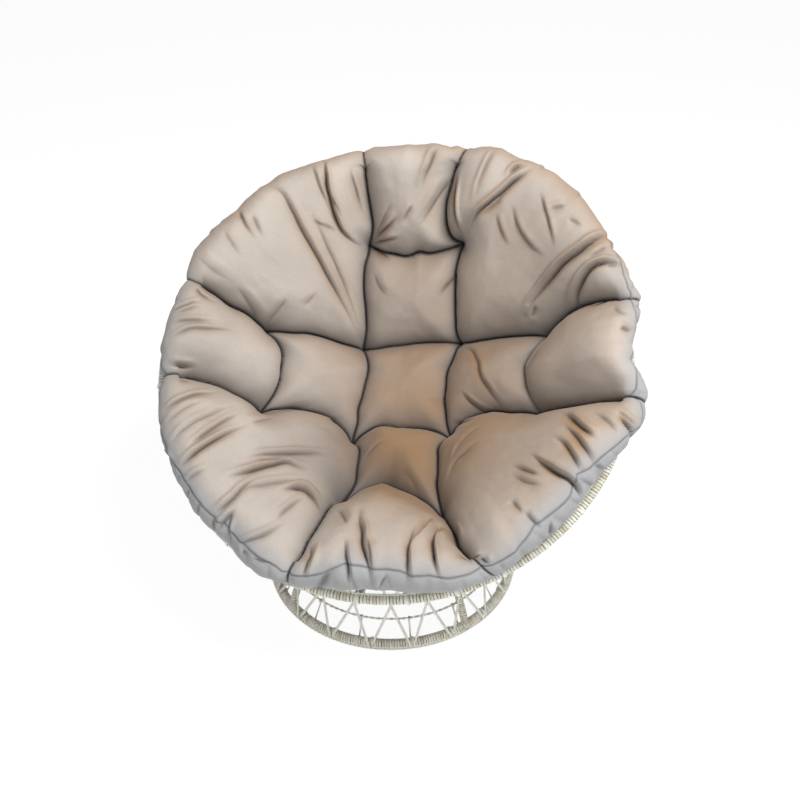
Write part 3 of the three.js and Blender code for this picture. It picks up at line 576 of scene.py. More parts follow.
@dataclass
class Finishes:
    """Every material of the chair, built once."""

    wicker: bpy.types.Material = field(default_factory=lambda: WickerFinish().build())
    gap: bpy.types.Material = field(default_factory=lambda: GapFinish().build())
    fabric: bpy.types.Material = field(default_factory=lambda: FabricFinish().build())
    steel: bpy.types.Material = field(default_factory=lambda: MetalFinish(
        "black_powder_coat", (38, 37, 36), (70, 68, 65), 0.0, 0.42, 900.0, 0.00012).build())
    zinc: bpy.types.Material = field(default_factory=lambda: MetalFinish(
        "bright_zinc_plate", (176, 178, 180), (138, 138, 136), 1.0, 0.3, 500.0, 0.00006).build())
    plastic: bpy.types.Material = field(default_factory=lambda: MetalFinish(
        "moulded_glide_plastic", (52, 50, 48), (84, 80, 76), 0.0, 0.6, 700.0, 0.0001).build())


# Paths and meshes


@dataclass(frozen=True)
class Ring:
    """A ring about its group's axis: the radius and height of its centre line, and its tube's width."""

    radius: float
    height: float
    tube: float

    def points(self, steps: int) -> np.ndarray:
        """Returns points round the ring's centre line."""
        turns = np.linspace(0, FULL_TURN, steps, endpoint=False)
        across, along = self.radius * np.cos(turns), self.radius * np.sin(turns)
        return np.stack([across, along, np.full(steps, self.height)], 1)


def placed(points: np.ndarray, place: Matrix) -> np.ndarray:
    """Moves points or turns directions by a matrix.

    Args:
        points: One row for each point.
        place: The matrix.

    Returns:
        The moved points.
    """
    turn = np.array(place.to_3x3())
    return points @ turn.T + np.array(place.translation)


def surface(name: str, points: np.ndarray, faces: list[np.ndarray]) -> bpy.types.Object:
    """Makes a mesh object with smooth faces.

    Args:
        name: The object's name.
        points: One row for each corner.
        faces: Tables of faces, each with one number of corners.

    Returns:
        The object, at the origin.
    """
    mesh = bpy.data.meshes.new(name)
    sizes = np.concatenate([np.full(len(table), table.shape[1]) for table in faces])
    corners = np.concatenate([table.ravel() for table in faces])
    mesh.vertices.add(len(points))
    mesh.vertices.foreach_set("co", points.astype(np.float32).ravel())
    mesh.loops.add(len(corners))
    mesh.loops.foreach_set("vertex_index", corners.astype(np.int32))
    mesh.polygons.add(len(sizes))
    starts = np.concatenate([[0], np.cumsum(sizes)[:-1]])
    mesh.polygons.foreach_set("loop_start", starts.astype(np.int32))
    mesh.polygons.foreach_set("use_smooth", np.ones(len(sizes), dtype=bool))
    mesh.update(calc_edges=True)
    mesh.validate()
    thing = bpy.data.objects.new(name, mesh)
    bpy.context.collection.objects.link(thing)
    return thing


def path_object(name: str, runs: list[tuple[np.ndarray, np.ndarray | None, bool]]) -> bpy.types.Object:
    """Makes an object of bare edges, for Geometry Nodes to sweep along.

    Args:
        name: The object's name.
        runs: For each path its points, the directions its broad side faces, and whether it is closed.

    Returns:
        The object, at the origin.
    """
    mesh = bpy.data.meshes.new(name)
    points: list[np.ndarray] = []
    facing: list[np.ndarray] = []
    edges: list[tuple[int, int]] = []
    start = 0
    for run, sides, closed in runs:
        count = len(run)
        points.append(run)
        facing.append(sides if sides is not None else np.tile([0.0, 0.0, 1.0], (count, 1)))
        last = count if closed else count - 1
        edges.extend((start + step, start + (step + 1) % count) for step in range(last))
        start += count
    mesh.from_pydata(np.concatenate(points).tolist(), edges, [])
    attribute = mesh.attributes.new("broad_side", "FLOAT_VECTOR", "POINT")
    attribute.data.foreach_set("vector", np.concatenate(facing).astype(np.float32).ravel())
    thing = bpy.data.objects.new(name, mesh)
    bpy.context.collection.objects.link(thing)
    return thing


def settle(thing: bpy.types.Object) -> bpy.types.Object:
    """Turns what an object's modifiers make into its own plain mesh.

    Args:
        thing: The object.

    Returns:
        The same object, with no modifiers.
    """
    graph = bpy.context.evaluated_depsgraph_get()
    made = thing.evaluated_get(graph)
    mesh = bpy.data.meshes.new_from_object(made, preserve_all_data_layers=True, depsgraph=graph)
    thing.modifiers.clear()
    thing.data = mesh
    return thing


# Geometry Nodes


class GrowingTree:
    """A Geometry Nodes tree with named inputs, put on path objects as a modifier."""

    def __init__(self, name: str, inputs: list[tuple[str, str]]) -> None:
        """Starts the tree.

        Args:
            name: The tree's name.
            inputs: The inputs' names and socket types, after the geometry.
        """
        self.tree = bpy.data.node_groups.new(name, "GeometryNodeTree")
        self.tree.interface.new_socket("Path", in_out="INPUT", socket_type="NodeSocketGeometry")
        self.sockets = {
            label: self.tree.interface.new_socket(label, in_out="INPUT", socket_type=kind).identifier
            for label, kind in inputs
        }
        self.tree.interface.new_socket("Mesh", in_out="OUTPUT", socket_type="NodeSocketGeometry")
        self.bench = NodeBench(self.tree)
        self.entry = self.bench.add("NodeGroupInput").outputs

    def finish(self, geometry: bpy.types.NodeSocket, material: bpy.types.NodeSocket,
               chosen: object = True) -> None:
        """Ends the tree in Realize Instances and Set Material.

        Args:
            geometry: What the tree has made.
            material: The material for it.
            chosen: The faces that take the material.
        """
        real = self.bench.add("GeometryNodeRealizeInstances", {"Geometry": geometry})
        smooth = self.bench.add("GeometryNodeSetShadeSmooth", {"Geometry": real.outputs[0]})
        dressed = self.bench.add("GeometryNodeSetMaterial", {
            "Geometry": smooth.outputs[0], "Selection": chosen, "Material": material,
        })
        self.bench.add("NodeGroupOutput", {"Mesh": dressed.outputs[0]})

    def grow(self, path: bpy.types.Object, values: dict[str, object]) -> bpy.types.Object:
        """Runs the tree on a path object and keeps the result as a plain mesh.

        Args:
            path: The object with the path.
            values: The inputs' values, by name.

        Returns:
            The same object with its new mesh.
        """
        modifier = path.modifiers.new(self.tree.name, "NODES")
        modifier.node_group = self.tree
        for label, value in values.items():
            modifier[self.sockets[label]] = value
        return settle(path)


class WindingTree(GrowingTree):
    """Winds a tube with flat turns of strand: a core in the shade, and one slanted turn for each pitch."""

    def __init__(self) -> None:
        """Builds the tree."""
        super().__init__("wicker_winding", [
            ("Tube", "NodeSocketFloat"), ("Pitch", "NodeSocketFloat"), ("Thickness", "NodeSocketFloat"),
            ("Slant", "NodeSocketFloat"), ("Unevenness", "NodeSocketFloat"), ("Seed", "NodeSocketInt"),
            ("Core", "NodeSocketMaterial"), ("Strand", "NodeSocketMaterial"),
        ])
        bench, entry = self.bench, self.entry
        curve = bench.add("GeometryNodeMeshToCurve", {"Mesh": entry["Path"]}).outputs[0]
        inner = bench.math("SUBTRACT", bench.math("MULTIPLY", entry["Tube"], 0.5), entry["Thickness"])
        core_circle = bench.add("GeometryNodeCurvePrimitiveCircle", {"Resolution": 14, "Radius": inner})
        core = bench.add("GeometryNodeCurveToMesh", {
            "Curve": curve, "Profile Curve": core_circle.outputs[0], "Fill Caps": True,
        })
        core_dressed = bench.add("GeometryNodeSetMaterial", {
            "Geometry": core.outputs[0], "Material": entry["Core"],
        })
        turns = self.turns(curve, inner)
        joined = bench.add("GeometryNodeJoinGeometry")
        for part in (core_dressed.outputs[0], turns):
            self.tree.links.new(part, joined.inputs[0])
        tint = bench.add("GeometryNodeInputNamedAttribute", {"Name": "strand_tint"}, data_type="FLOAT")
        wound = bench.add("FunctionNodeCompare", {"A": bench.result(tint), "B": 0.01},
                          operation="GREATER_THAN")
        self.finish(joined.outputs[0], entry["Strand"], bench.result(wound))

    def turns(self, curve: bpy.types.NodeSocket, inner: bpy.types.NodeSocket) -> bpy.types.NodeSocket:
        """Puts one turn of strand at each pitch.

        Args:
            curve: The tube's centre line.
            inner: The radius on which the strand lies.

        Returns:
            The socket with the turns as instances.
        """
        bench, entry = self.bench, self.entry
        spaced = bench.add("GeometryNodeResampleCurve", {"Curve": curve}, mode="LENGTH")
        bench.feed(spaced.inputs["Length"], entry["Pitch"])
        middle = bench.math("MULTIPLY_ADD", entry["Thickness"], 0.5, inner)
        circle = bench.add("GeometryNodeCurvePrimitiveCircle", {"Resolution": 14, "Radius": middle})
        band = bench.add("GeometryNodeCurvePrimitiveQuadrilateral", {}, mode="TRAPEZOID")
        band_sizes = {
            "Bottom Width": bench.math("MULTIPLY", entry["Pitch"], 0.88),
            "Top Width": bench.math("MULTIPLY", entry["Pitch"], 0.80),
            "Height": entry["Thickness"], "Offset": 0.0,
        }
        for name, value in band_sizes.items():
            bench.feed(next(one for one in band.inputs if one.name == name), value)
        turned = bench.add("GeometryNodeTransform", {"Geometry": band.outputs[0]})
        turned.inputs["Rotation"].default_value = (0.0, 0.0, math.radians(-90))
        turn = bench.add("GeometryNodeCurveToMesh", {
            "Curve": circle.outputs[0], "Profile Curve": turned.outputs[0],
        })
        tangent = bench.add("GeometryNodeInputTangent")
        normal = bench.add("GeometryNodeInputNormal")
        facing = bench.add("FunctionNodeAxesToRotation", {
            "Primary Axis": tangent.outputs[0], "Secondary Axis": normal.outputs[0],
        }, primary_axis="Z", secondary_axis="X")
        least = bench.add("ShaderNodeCombineXYZ")
        most = bench.add("ShaderNodeCombineXYZ")
        for corner, sign in ((least, -1.0), (most, 1.0)):
            spread = bench.math("MULTIPLY", entry["Unevenness"], sign)
            bench.feed(corner.inputs["X"], bench.math("ADD", entry["Slant"], spread))
            bench.feed(corner.inputs["Y"], spread)
        lean = bench.add("FunctionNodeRandomValue", {
            "Min": least.outputs[0], "Max": most.outputs[0], "Seed": entry["Seed"],
        }, data_type="FLOAT_VECTOR")
        as_turn = bench.add("FunctionNodeEulerToRotation", {"Euler": bench.result(lean)})
        rotation = bench.add("FunctionNodeRotateRotation", {
            "Rotation": facing.outputs[0], "Rotate By": as_turn.outputs[0],
        }, rotation_space="LOCAL")
        fit = bench.add("FunctionNodeRandomValue", {
            "Min": (0.985, 0.985, 0.94), "Max": (1.015, 1.015, 1.04), "Seed": entry["Seed"],
        }, data_type="FLOAT_VECTOR")
        placed_turns = bench.add("GeometryNodeInstanceOnPoints", {
            "Points": spaced.outputs[0], "Instance": turn.outputs[0],
            "Rotation": rotation.outputs[0], "Scale": bench.result(fit),
        })
        shade = bench.add("FunctionNodeRandomValue", {"Min": 0.05, "Max": 0.55, "Seed": entry["Seed"]},
                          data_type="FLOAT")
        return bench.add("GeometryNodeStoreNamedAttribute", {
            "Geometry": placed_turns.outputs[0], "Name": "strand_tint", "Value": bench.result(shade),
        }, data_type="FLOAT", domain="INSTANCE").outputs[0]


class StrandTree(GrowingTree):
    """Sweeps a flat strand with rounded edges along each path, its broad side where the path says."""

    def __init__(self) -> None:
        """Builds the tree."""
        super().__init__("laced_strand", [
            ("Width", "NodeSocketFloat"), ("Thickness", "NodeSocketFloat"), ("Tint", "NodeSocketFloat"),
            ("Strand", "NodeSocketMaterial"),
        ])
        bench, entry = self.bench, self.entry
        curve = bench.add("GeometryNodeMeshToCurve", {"Mesh": entry["Path"]}).outputs[0]
        side = bench.add("GeometryNodeInputNamedAttribute", {"Name": "broad_side"}, data_type="FLOAT_VECTOR")
        facing = bench.add("GeometryNodeSetCurveNormal", {"Curve": curve}, mode="FREE")
        bench.feed(facing.inputs["Normal"], bench.result(side))
        outline = bench.add("GeometryNodeCurvePrimitiveQuadrilateral", {}, mode="RECTANGLE")
        bench.feed(outline.inputs["Width"], entry["Thickness"])
        bench.feed(outline.inputs["Height"], entry["Width"])
        rounded = bench.add("GeometryNodeFilletCurve", {"Curve": outline.outputs[0]}, mode="POLY")
        bench.feed(rounded.inputs["Radius"], bench.math("MULTIPLY", entry["Thickness"], 0.35))
        strand = bench.add("GeometryNodeCurveToMesh", {
            "Curve": facing.outputs[0], "Profile Curve": rounded.outputs[0], "Fill Caps": True,
        })
        tinted = bench.add("GeometryNodeStoreNamedAttribute", {
            "Geometry": strand.outputs[0], "Name": "strand_tint", "Value": entry["Tint"],
        }, data_type="FLOAT", domain="POINT")
        self.finish(tinted.outputs[0], entry["Strand"])


class TubeTree(GrowingTree):
    """Sweeps a round section along each path."""

    def __init__(self) -> None:
        """Builds the tree."""
        super().__init__("round_section", [
            ("Diameter", "NodeSocketFloat"), ("Sides", "NodeSocketInt"), ("Tint", "NodeSocketFloat"),
            ("Finish", "NodeSocketMaterial"),
        ])
        bench, entry = self.bench, self.entry
        curve = bench.add("GeometryNodeMeshToCurve", {"Mesh": entry["Path"]}).outputs[0]
        circle = bench.add("GeometryNodeCurvePrimitiveCircle", {
            "Resolution": entry["Sides"], "Radius": bench.math("MULTIPLY", entry["Diameter"], 0.5),
        })
        tube = bench.add("GeometryNodeCurveToMesh", {
            "Curve": curve, "Profile Curve": circle.outputs[0], "Fill Caps": True,
        })
        tinted = bench.add("GeometryNodeStoreNamedAttribute", {
            "Geometry": tube.outputs[0], "Name": "strand_tint", "Value": entry["Tint"],
        }, data_type="FLOAT", domain="POINT")
        self.finish(tinted.outputs[0], entry["Finish"])


@dataclass
class Trees:
    """Every Geometry Nodes tree, built once."""

    winding: WindingTree = field(default_factory=WindingTree)
    strand: StrandTree = field(default_factory=StrandTree)
    tube: TubeTree = field(default_factory=TubeTree)


@dataclass(frozen=True)
class Lacing:
    """A strand that zigzags between two rings and goes once round the tube at every bend."""

    low: Ring
    high: Ring
    waves: int
    phase: int
    side: Side
    cross_lift: float
    thickness: float
    bend_width: float = 0.009
    sag: float = 0.0
    loop_steps: int = 12
    run_steps: int = 8
    touch: float = 0.0003

    def loop(self, ring: Ring, azimuth: float, arriving: np.ndarray,
             out: np.ndarray) -> tuple[np.ndarray, np.ndarray]:
        """Goes once round a ring's tube.

        Args:
            ring: The ring.
            azimuth: Where on the ring.
            arriving: The strand's direction as it arrives, in the plane of radius and height.
            out: The side on which it arrives, in the same plane.

        Returns:
            The points and the directions that the strand's broad side faces.
        """
        reach = ring.tube / 2 + self.thickness / 2 + self.touch
        start = math.atan2(out[1], out[0])
        sense = 1 if -math.sin(start) * arriving[0] + math.cos(start) * arriving[1] > 0 else -1
        shares = np.linspace(0, 1, self.loop_steps + 1)
        turns = start + sense * FULL_TURN * shares
        spread = self.bend_width / 2 / ring.radius
        azimuths = azimuth + spread * (2 * shares - 1)
        radii = ring.radius + reach * np.cos(turns)
        points = np.stack([radii * np.cos(azimuths), radii * np.sin(azimuths),
                           ring.height + reach * np.sin(turns)], 1)
        facing = np.stack([np.cos(turns) * np.cos(azimuths), np.cos(turns) * np.sin(azimuths),
                           np.sin(turns)], 1)
        return points, facing

    def path(self) -> tuple[np.ndarray, np.ndarray]:
        """Returns the points of the whole strand and the directions that its broad side faces."""
        rise = np.array([self.high.radius - self.low.radius, self.high.height - self.low.height])
        along = rise / np.linalg.norm(rise)
        out = self.side.value * np.array([along[1], -along[0]])
        half = FULL_TURN / 2 / self.waves
        loops = []
        for wave in range(self.waves):
            azimuth = (2 * wave + self.phase) * half
            loops.append(self.loop(self.low, azimuth, -along, out))
            loops.append(self.loop(self.high, azimuth + half, along, out))
        points: list[np.ndarray] = []
        facing: list[np.ndarray] = []
        for number, (loop_points, loop_facing) in enumerate(loops):
            next_points, next_facing = loops[(number + 1) % len(loops)]
            points.append(loop_points)
            facing.append(loop_facing)
            shares = np.linspace(0, 1, self.run_steps + 2)[1:-1, None]
            run = loop_points[-1] * (1 - shares) + next_points[0] * shares
            side = loop_facing[-1] * (1 - shares) + next_facing[0] * shares
            side /= np.linalg.norm(side, axis=1, keepdims=True)
            swell = 4 * shares * (1 - shares)
            points.append(run + side * (self.cross_lift * swell ** 2 - self.sag * swell))
            facing.append(side)
        return np.concatenate(points), np.concatenate(facing)


@dataclass(frozen=True)
class TwistedLine:
    """Two thin strands twisted together along a ring."""

    ring: Ring
    strand: float
    twist_length: float
    steps_for_each_twist: int = 10

    def runs(self) -> list[np.ndarray]:
        """Returns the points of both strands."""
        twists = round(FULL_TURN * self.ring.radius / self.twist_length)
        steps = twists * self.steps_for_each_twist
        azimuths = np.linspace(0, FULL_TURN, steps, endpoint=False)
        found = []
        for start in (0.0, math.pi):
            turns = twists * azimuths + start
            radii = self.ring.radius + self.strand / 2 * np.cos(turns)
            heights = self.ring.height + self.strand / 2 * np.sin(turns)
            found.append(np.stack([radii * np.cos(azimuths), radii * np.sin(azimuths), heights], 1))
        return found


# Sub-assemblies


@dataclass
class Chair:
    """The main places that the sub-assemblies share."""

    bowl_setback: float = 0.040
    bowl_height: float = 0.565
    bowl_tilt: float = 34.0

    def __post_init__(self) -> None:
        """Reads the swivel's axis from the record and places the two groups."""
        axis = frame["record"]["behaviour"]["joints"][0]["pos_m"]
        self.axis = Vector((axis[0], axis[1], 0.0))
        self.base_place = Matrix.Translation(self.axis)
        rim_middle = self.axis + Vector((0.0, self.bowl_setback, self.bowl_height))
        lean = Matrix.Rotation(math.radians(self.bowl_tilt), 4, "X")
        self.bowl_place = Matrix.Translation(rim_middle) @ lean


@dataclass
class WovenPart:
    """What the base and the bowl share: how a wound tube, a laced strand or a twisted line is made."""

    chair: Chair
    finishes: Finishes
    trees: Trees
    body: Body
    place: Matrix
    strand_width: float = 0.0062
    strand_thickness: float = 0.0024
    winding_thickness: float = 0.0012

    def hand_over(self, thing: bpy.types.Object, nodes: tuple[str, ...]) -> None:
        """Gives a finished piece to the frame.

        Args:
            thing: The piece.
            nodes: The CAD nodes that it stands for.
        """
        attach(thing, self.body.value)
        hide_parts(*nodes)
        LOG.info("%s: %d faces, stands for %s", thing.name, len(thing.data.polygons), ", ".join(nodes))

    def wind(self, node: str, points: np.ndarray, closed: bool, tube: float, pitch: float, seed: int) -> None:
        """Makes a wound tube in place of a CAD node.

        Args:
            node: The CAD node.
            points: The tube's centre line in its group's frame.
            closed: Whether the line is a loop.
            tube: The width over the winding.
            pitch: The distance from turn to turn.
            seed: The seed of the turns' unevenness.
        """
        path = path_object(f"{node}_winding", [(placed(points, self.place), None, closed)])
        slant = math.atan(pitch / (math.pi * tube))
        wound = self.trees.winding.grow(path, {
            "Tube": tube, "Pitch": pitch, "Thickness": self.winding_thickness, "Slant": slant,
            "Unevenness": math.radians(1.6), "Seed": seed,
            "Core": self.finishes.gap, "Strand": self.finishes.wicker,
        })
        self.hand_over(wound, (node,))

    def lace(self, node: str, lacing: Lacing, tint: float) -> None:
        """Makes a laced strand in place of a CAD node.

        Args:
            node: The CAD node.
            lacing: The strand's way between its two rings.
            tint: The strand's tone.
        """
        points, facing = lacing.path()
        turn = Matrix(self.place.to_3x3()).to_4x4()
        path = path_object(f"{node}_strand", [(placed(points, self.place), placed(facing, turn), True)])
        strand = self.trees.strand.grow(path, {
            "Width": self.strand_width, "Thickness": self.strand_thickness, "Tint": tint,
            "Strand": self.finishes.wicker,
        })
        self.hand_over(strand, (node,))

    def twist(self, node: str, line: TwistedLine, tint: float) -> None:
        """Makes a twisted line in place of a CAD node.

        Args:
            node: The CAD node.
            line: The two strands' way.
            tint: The strands' tone.
        """
        runs = [(placed(points, self.place), None, True) for points in line.runs()]
        made = self.trees.tube.grow(path_object(f"{node}_line", runs), {
            "Diameter": line.strand, "Sides": 7, "Tint": tint, "Finish": self.finishes.wicker,
        })
        self.hand_over(made, (node,))


@dataclass
class WickerBase(WovenPart):
    """The low base: two wound rings, four wound legs, two laced strands, the tied hoop and the binding."""

    floor_ring: Ring = Ring(0.300, 0.0148, 0.021)
    top_ring: Ring = Ring(0.235, 0.175, 0.018)
    leg_tube: float = 0.018
    leg_inset: float = 0.004
    leg_count: int = 4
    waves: int = 10
    cross_lift: float = 0.003
    hoop_share: float = 0.31
    hoop_strand: float = 0.003
    tie_count: int = 15
    tie_width: float = 0.004
    tie_thickness: float = 0.0018
    binding_turn: float = -45.0
    binding_strand: float = 0.0026
    pitch: float = 0.006

    def build(self) -> None:
        """Makes every piece of the base that has wicker on it."""
        self.wind("floor_ring", self.floor_ring.points(160), True, self.floor_ring.tube, self.pitch, 11)
        self.wind("base_top_ring", self.top_ring.points(128), True, self.top_ring.tube, self.pitch, 12)
        self.build_legs()
        layers = (("base_strand_inner", 0.0), ("base_strand_outer", self.cross_lift))
        for number, (node, lift) in enumerate(layers):
            lacing = Lacing(self.floor_ring, self.top_ring, self.waves, number, Side.OUTER, lift,
                            self.strand_thickness)
            self.lace(node, lacing, 0.5)
        self.build_hoop()
        reach = self.floor_ring.tube / 2 + self.binding_strand
        turn = math.radians(self.binding_turn)
        line = Ring(self.floor_ring.radius + reach * math.cos(turn),
                    self.floor_ring.height + reach * math.sin(turn), self.binding_strand)
        self.twist("floor_ring_binding", TwistedLine(line, self.binding_strand, 0.021), 0.45)

    def slope_point(self, share: float, lift: float, azimuth: float) -> np.ndarray:
        """Finds a point on the slope between the two rings.

        Args:
            share: How far up, from 0 to 1.
            lift: How far outward off the slope.
            azimuth: The direction from the middle.

        Returns:
            The point.
        """
        run = self.top_ring.radius - self.floor_ring.radius
        rise = self.top_ring.height - self.floor_ring.height
        length = math.hypot(run, rise)
        radius = self.floor_ring.radius + run * share + lift * rise / length
        height = self.floor_ring.height + rise * share - lift * run / length
        return np.array([radius * math.cos(azimuth), radius * math.sin(azimuth), height])

    def build_legs(self) -> None:
        """Winds the four legs between the rings."""
        slope = math.hypot(self.floor_ring.radius - self.top_ring.radius,
                           self.top_ring.height - self.floor_ring.height)
        foot_share = (self.floor_ring.tube / 2) / slope
        head_share = 1 - (self.top_ring.tube / 2) / slope
        for number in range(self.leg_count):
            azimuth = (number + 0.5) * FULL_TURN / self.leg_count
            ends = [self.slope_point(share, -self.leg_inset, azimuth) for share in (foot_share, head_share)]
            points = np.linspace(ends[0], ends[1], 24)
            self.wind(f"base_leg_{number + 1}", points, False, self.leg_tube, self.pitch, 20 + number)

    def build_hoop(self) -> None:
        """Makes the hoop inside the legs and its ties to the floor ring, as one piece."""
        lift = -self.leg_inset - self.leg_tube / 2 - self.hoop_strand
        middle = self.slope_point(self.hoop_share, lift, 0.0)
        hoop = TwistedLine(Ring(middle[0], middle[2], self.hoop_strand), self.hoop_strand, 0.030)
        rope_runs = [(placed(run, self.place), None, True) for run in hoop.runs()]
        rope_path = path_object("stay_hoop_line", rope_runs)
        rope = self.trees.tube.grow(rope_path, {
            "Diameter": self.hoop_strand, "Sides": 7, "Tint": 0.4, "Finish": self.finishes.wicker,
        })
        ties = []
        turn = Matrix(self.place.to_3x3()).to_4x4()
        for number in range(self.tie_count):
            azimuth = number * FULL_TURN / self.tie_count
            outward = np.array([math.cos(azimuth), math.sin(azimuth), 0.0])
            head = self.slope_point(self.hoop_share, lift, azimuth)
            foot = self.slope_point(0.0, -self.floor_ring.tube / 2 - self.tie_thickness / 2, azimuth)
            over = head + outward * 0.004 + np.array([0.0, 0.0, 0.003])
            inner = head - outward * 0.004 + np.array([0.0, 0.0, 0.001])
            under = foot + np.array([0.0, 0.0, -0.006])
            points = np.array([head + outward * 0.004 - np.array([0.0, 0.0, 0.004]), over,
                               (over + inner) / 2 + np.array([0.0, 0.0, 0.002]), inner,
                               inner * 0.5 + foot * 0.5, foot, under])
            ties.append((placed(points, self.place), placed(np.tile(outward, (len(points), 1)), turn), False))
        tie_path = path_object("stay_hoop_ties", ties)
        made = self.trees.strand.grow(tie_path, {
            "Width": self.tie_width, "Thickness": self.tie_thickness, "Tint": 0.5,
            "Strand": self.finishes.wicker,
        })
        for thing in (rope, made):
            self.hand_over(thing, ("stay_hoop",))


@dataclass
class WickerBowl(WovenPart):
    """The bowl: rim, ribs, two lower rings, two bands of lacing and the rim's binding, on one sphere."""

    rim_radius: float = 0.530
    rim_tube: float = 0.021
    depth: float = 0.275
    rib_count: int = 8
    rib_tube: float = 0.014
    rib_face: float = 0.00764
    middle_radius: float = 0.330
    middle_tube: float = 0.010
    bottom_radius: float = 0.110
    bottom_tube: float = 0.016
    upper_waves: int = 16
    lower_waves: int = 10
    cross_lift: float = 0.003
    binding_turn: float = 135.0
    binding_strand: float = 0.0026

    def __post_init__(self) -> None:
        """Works out the sphere and the rings on it."""
        self.sphere = (self.rim_radius ** 2 + self.depth ** 2) / (2 * self.depth)
        self.rim = Ring(self.rim_radius, 0.0, self.rim_tube)
        inset = self.rib_face + self.middle_tube / 2
        self.middle_ring = self.ring_at(math.asin(self.middle_radius / self.sphere), inset, self.middle_tube)
        self.bottom_angle = math.asin(self.bottom_radius / self.sphere)
        self.bottom_ring = self.ring_at(self.bottom_angle, 0.0, self.bottom_tube)

    def point(self, azimuth: float, angle: float, inset: float = 0.0) -> np.ndarray:
        """Finds a point on the bowl's sphere.

        Args:
            azimuth: The direction round the bowl.
            angle: The angle up from the bottom of the bowl.
            inset: How far inside the sphere.

        Returns:
            The point in the bowl's frame.
        """
        radius = self.sphere - inset
        flat = radius * math.sin(angle)
        height = self.sphere - self.depth - radius * math.cos(angle)
        return np.array([flat * math.cos(azimuth), flat * math.sin(azimuth), height])

    def ring_at(self, angle: float, inset: float, tube: float) -> Ring:
        """Returns the ring at an angle up from the bottom of the bowl."""
        place = self.point(0.0, angle, inset)
        return Ring(float(place[0]), float(place[2]), tube)

    def build(self) -> None:
        """Makes every piece of the bowl's frame."""
        self.wind("bowl_rim", self.rim.points(256), True, self.rim_tube, 0.007, 31)
        self.wind("bowl_middle_ring", self.middle_ring.points(192), True, self.middle_tube, 0.0055, 32)
        self.wind("bowl_bottom_ring", self.bottom_ring.points(96), True, self.bottom_tube, 0.006, 33)
        rim_angle = math.asin(self.rim_radius / self.sphere)
        low = self.bottom_angle + self.bottom_tube / 2 / self.sphere
        high = rim_angle - self.rim_tube / 2 / self.sphere
        for number in range(self.rib_count):
            azimuth = number * FULL_TURN / self.rib_count - math.pi / 2
            points = np.array([self.point(azimuth, angle) for angle in np.linspace(low, high, 40)])
            self.wind(f"bowl_rib_{number + 1}", points, False, self.rib_tube, 0.006, 40 + number)
        bands = (
            ("upper_lattice", self.middle_ring, self.rim, self.upper_waves, 0.0075),
            ("lower_lattice", self.bottom_ring, self.middle_ring, self.lower_waves, 0.0085),
        )
        for name, lower, upper, waves, sag in bands:
            for number, (layer, lift) in enumerate((("outer", 0.0), ("inner", self.cross_lift))):
                lacing = Lacing(lower, upper, waves, number, Side.INNER, lift, self.strand_thickness, sag=sag)
                self.lace(f"{name}_{layer}", lacing, 0.5)
        reach = self.rim_tube / 2 + self.binding_strand
        turn = math.radians(self.binding_turn)
        line = Ring(self.rim_radius + reach * math.cos(turn), reach * math.sin(turn), self.binding_strand)
        self.twist("rim_binding", TwistedLine(line, self.binding_strand, 0.021), 0.5)


@dataclass
class SwivelAndStays:
    """The steel between base and bowl: the frame's plates, stays and fasteners, with a new seat ring."""

    chair: Chair
    finishes: Finishes
    trees: Trees
    seat_ring: Ring = Ring(0.200, 0.1952, 0.016)
    steel_nodes: tuple[str, ...] = ("base_spider", "lower_swivel_plate", "upper_swivel_plate", "seat_spider",
                                    "seat_stay_front", "seat_stay_right", "seat_stay_left",
                                    "seat_stay_back_right", "seat_stay_back_left")
    zinc_starts: tuple[str, ...] = ("ball_race", "king_pin", "lower_plate_bolt", "upper_plate_bolt")
    plastic_start: str = "floor_glide"

    def build(self) -> None:
        """Dresses the frame's own nodes and makes the seat ring."""
        for name, node in frame["nodes"].items():
            if name in self.steel_nodes:
                self.dress(node, self.finishes.steel)
            elif name.startswith(self.zinc_starts):
                self.dress(node, self.finishes.zinc)
            elif name.startswith(self.plastic_start):
                self.dress(node, self.finishes.plastic)
        points = placed(self.seat_ring.points(96), self.chair.base_place)
        ring = self.trees.tube.grow(path_object("seat_ring_tube", [(points, None, True)]), {
            "Diameter": self.seat_ring.tube, "Sides": 16, "Tint": 0.0, "Finish": self.finishes.steel,
        })
        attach(ring, Body.SEAT.value)
        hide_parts("seat_ring")
        LOG.info("%s: %d faces", ring.name, len(ring.data.polygons))

    @staticmethod
    def dress(node: bpy.types.Object, material: bpy.types.Material) -> None:
        """Puts a material in every slot of a frame node."""
        for slot in node.material_slots:
            slot.material = material


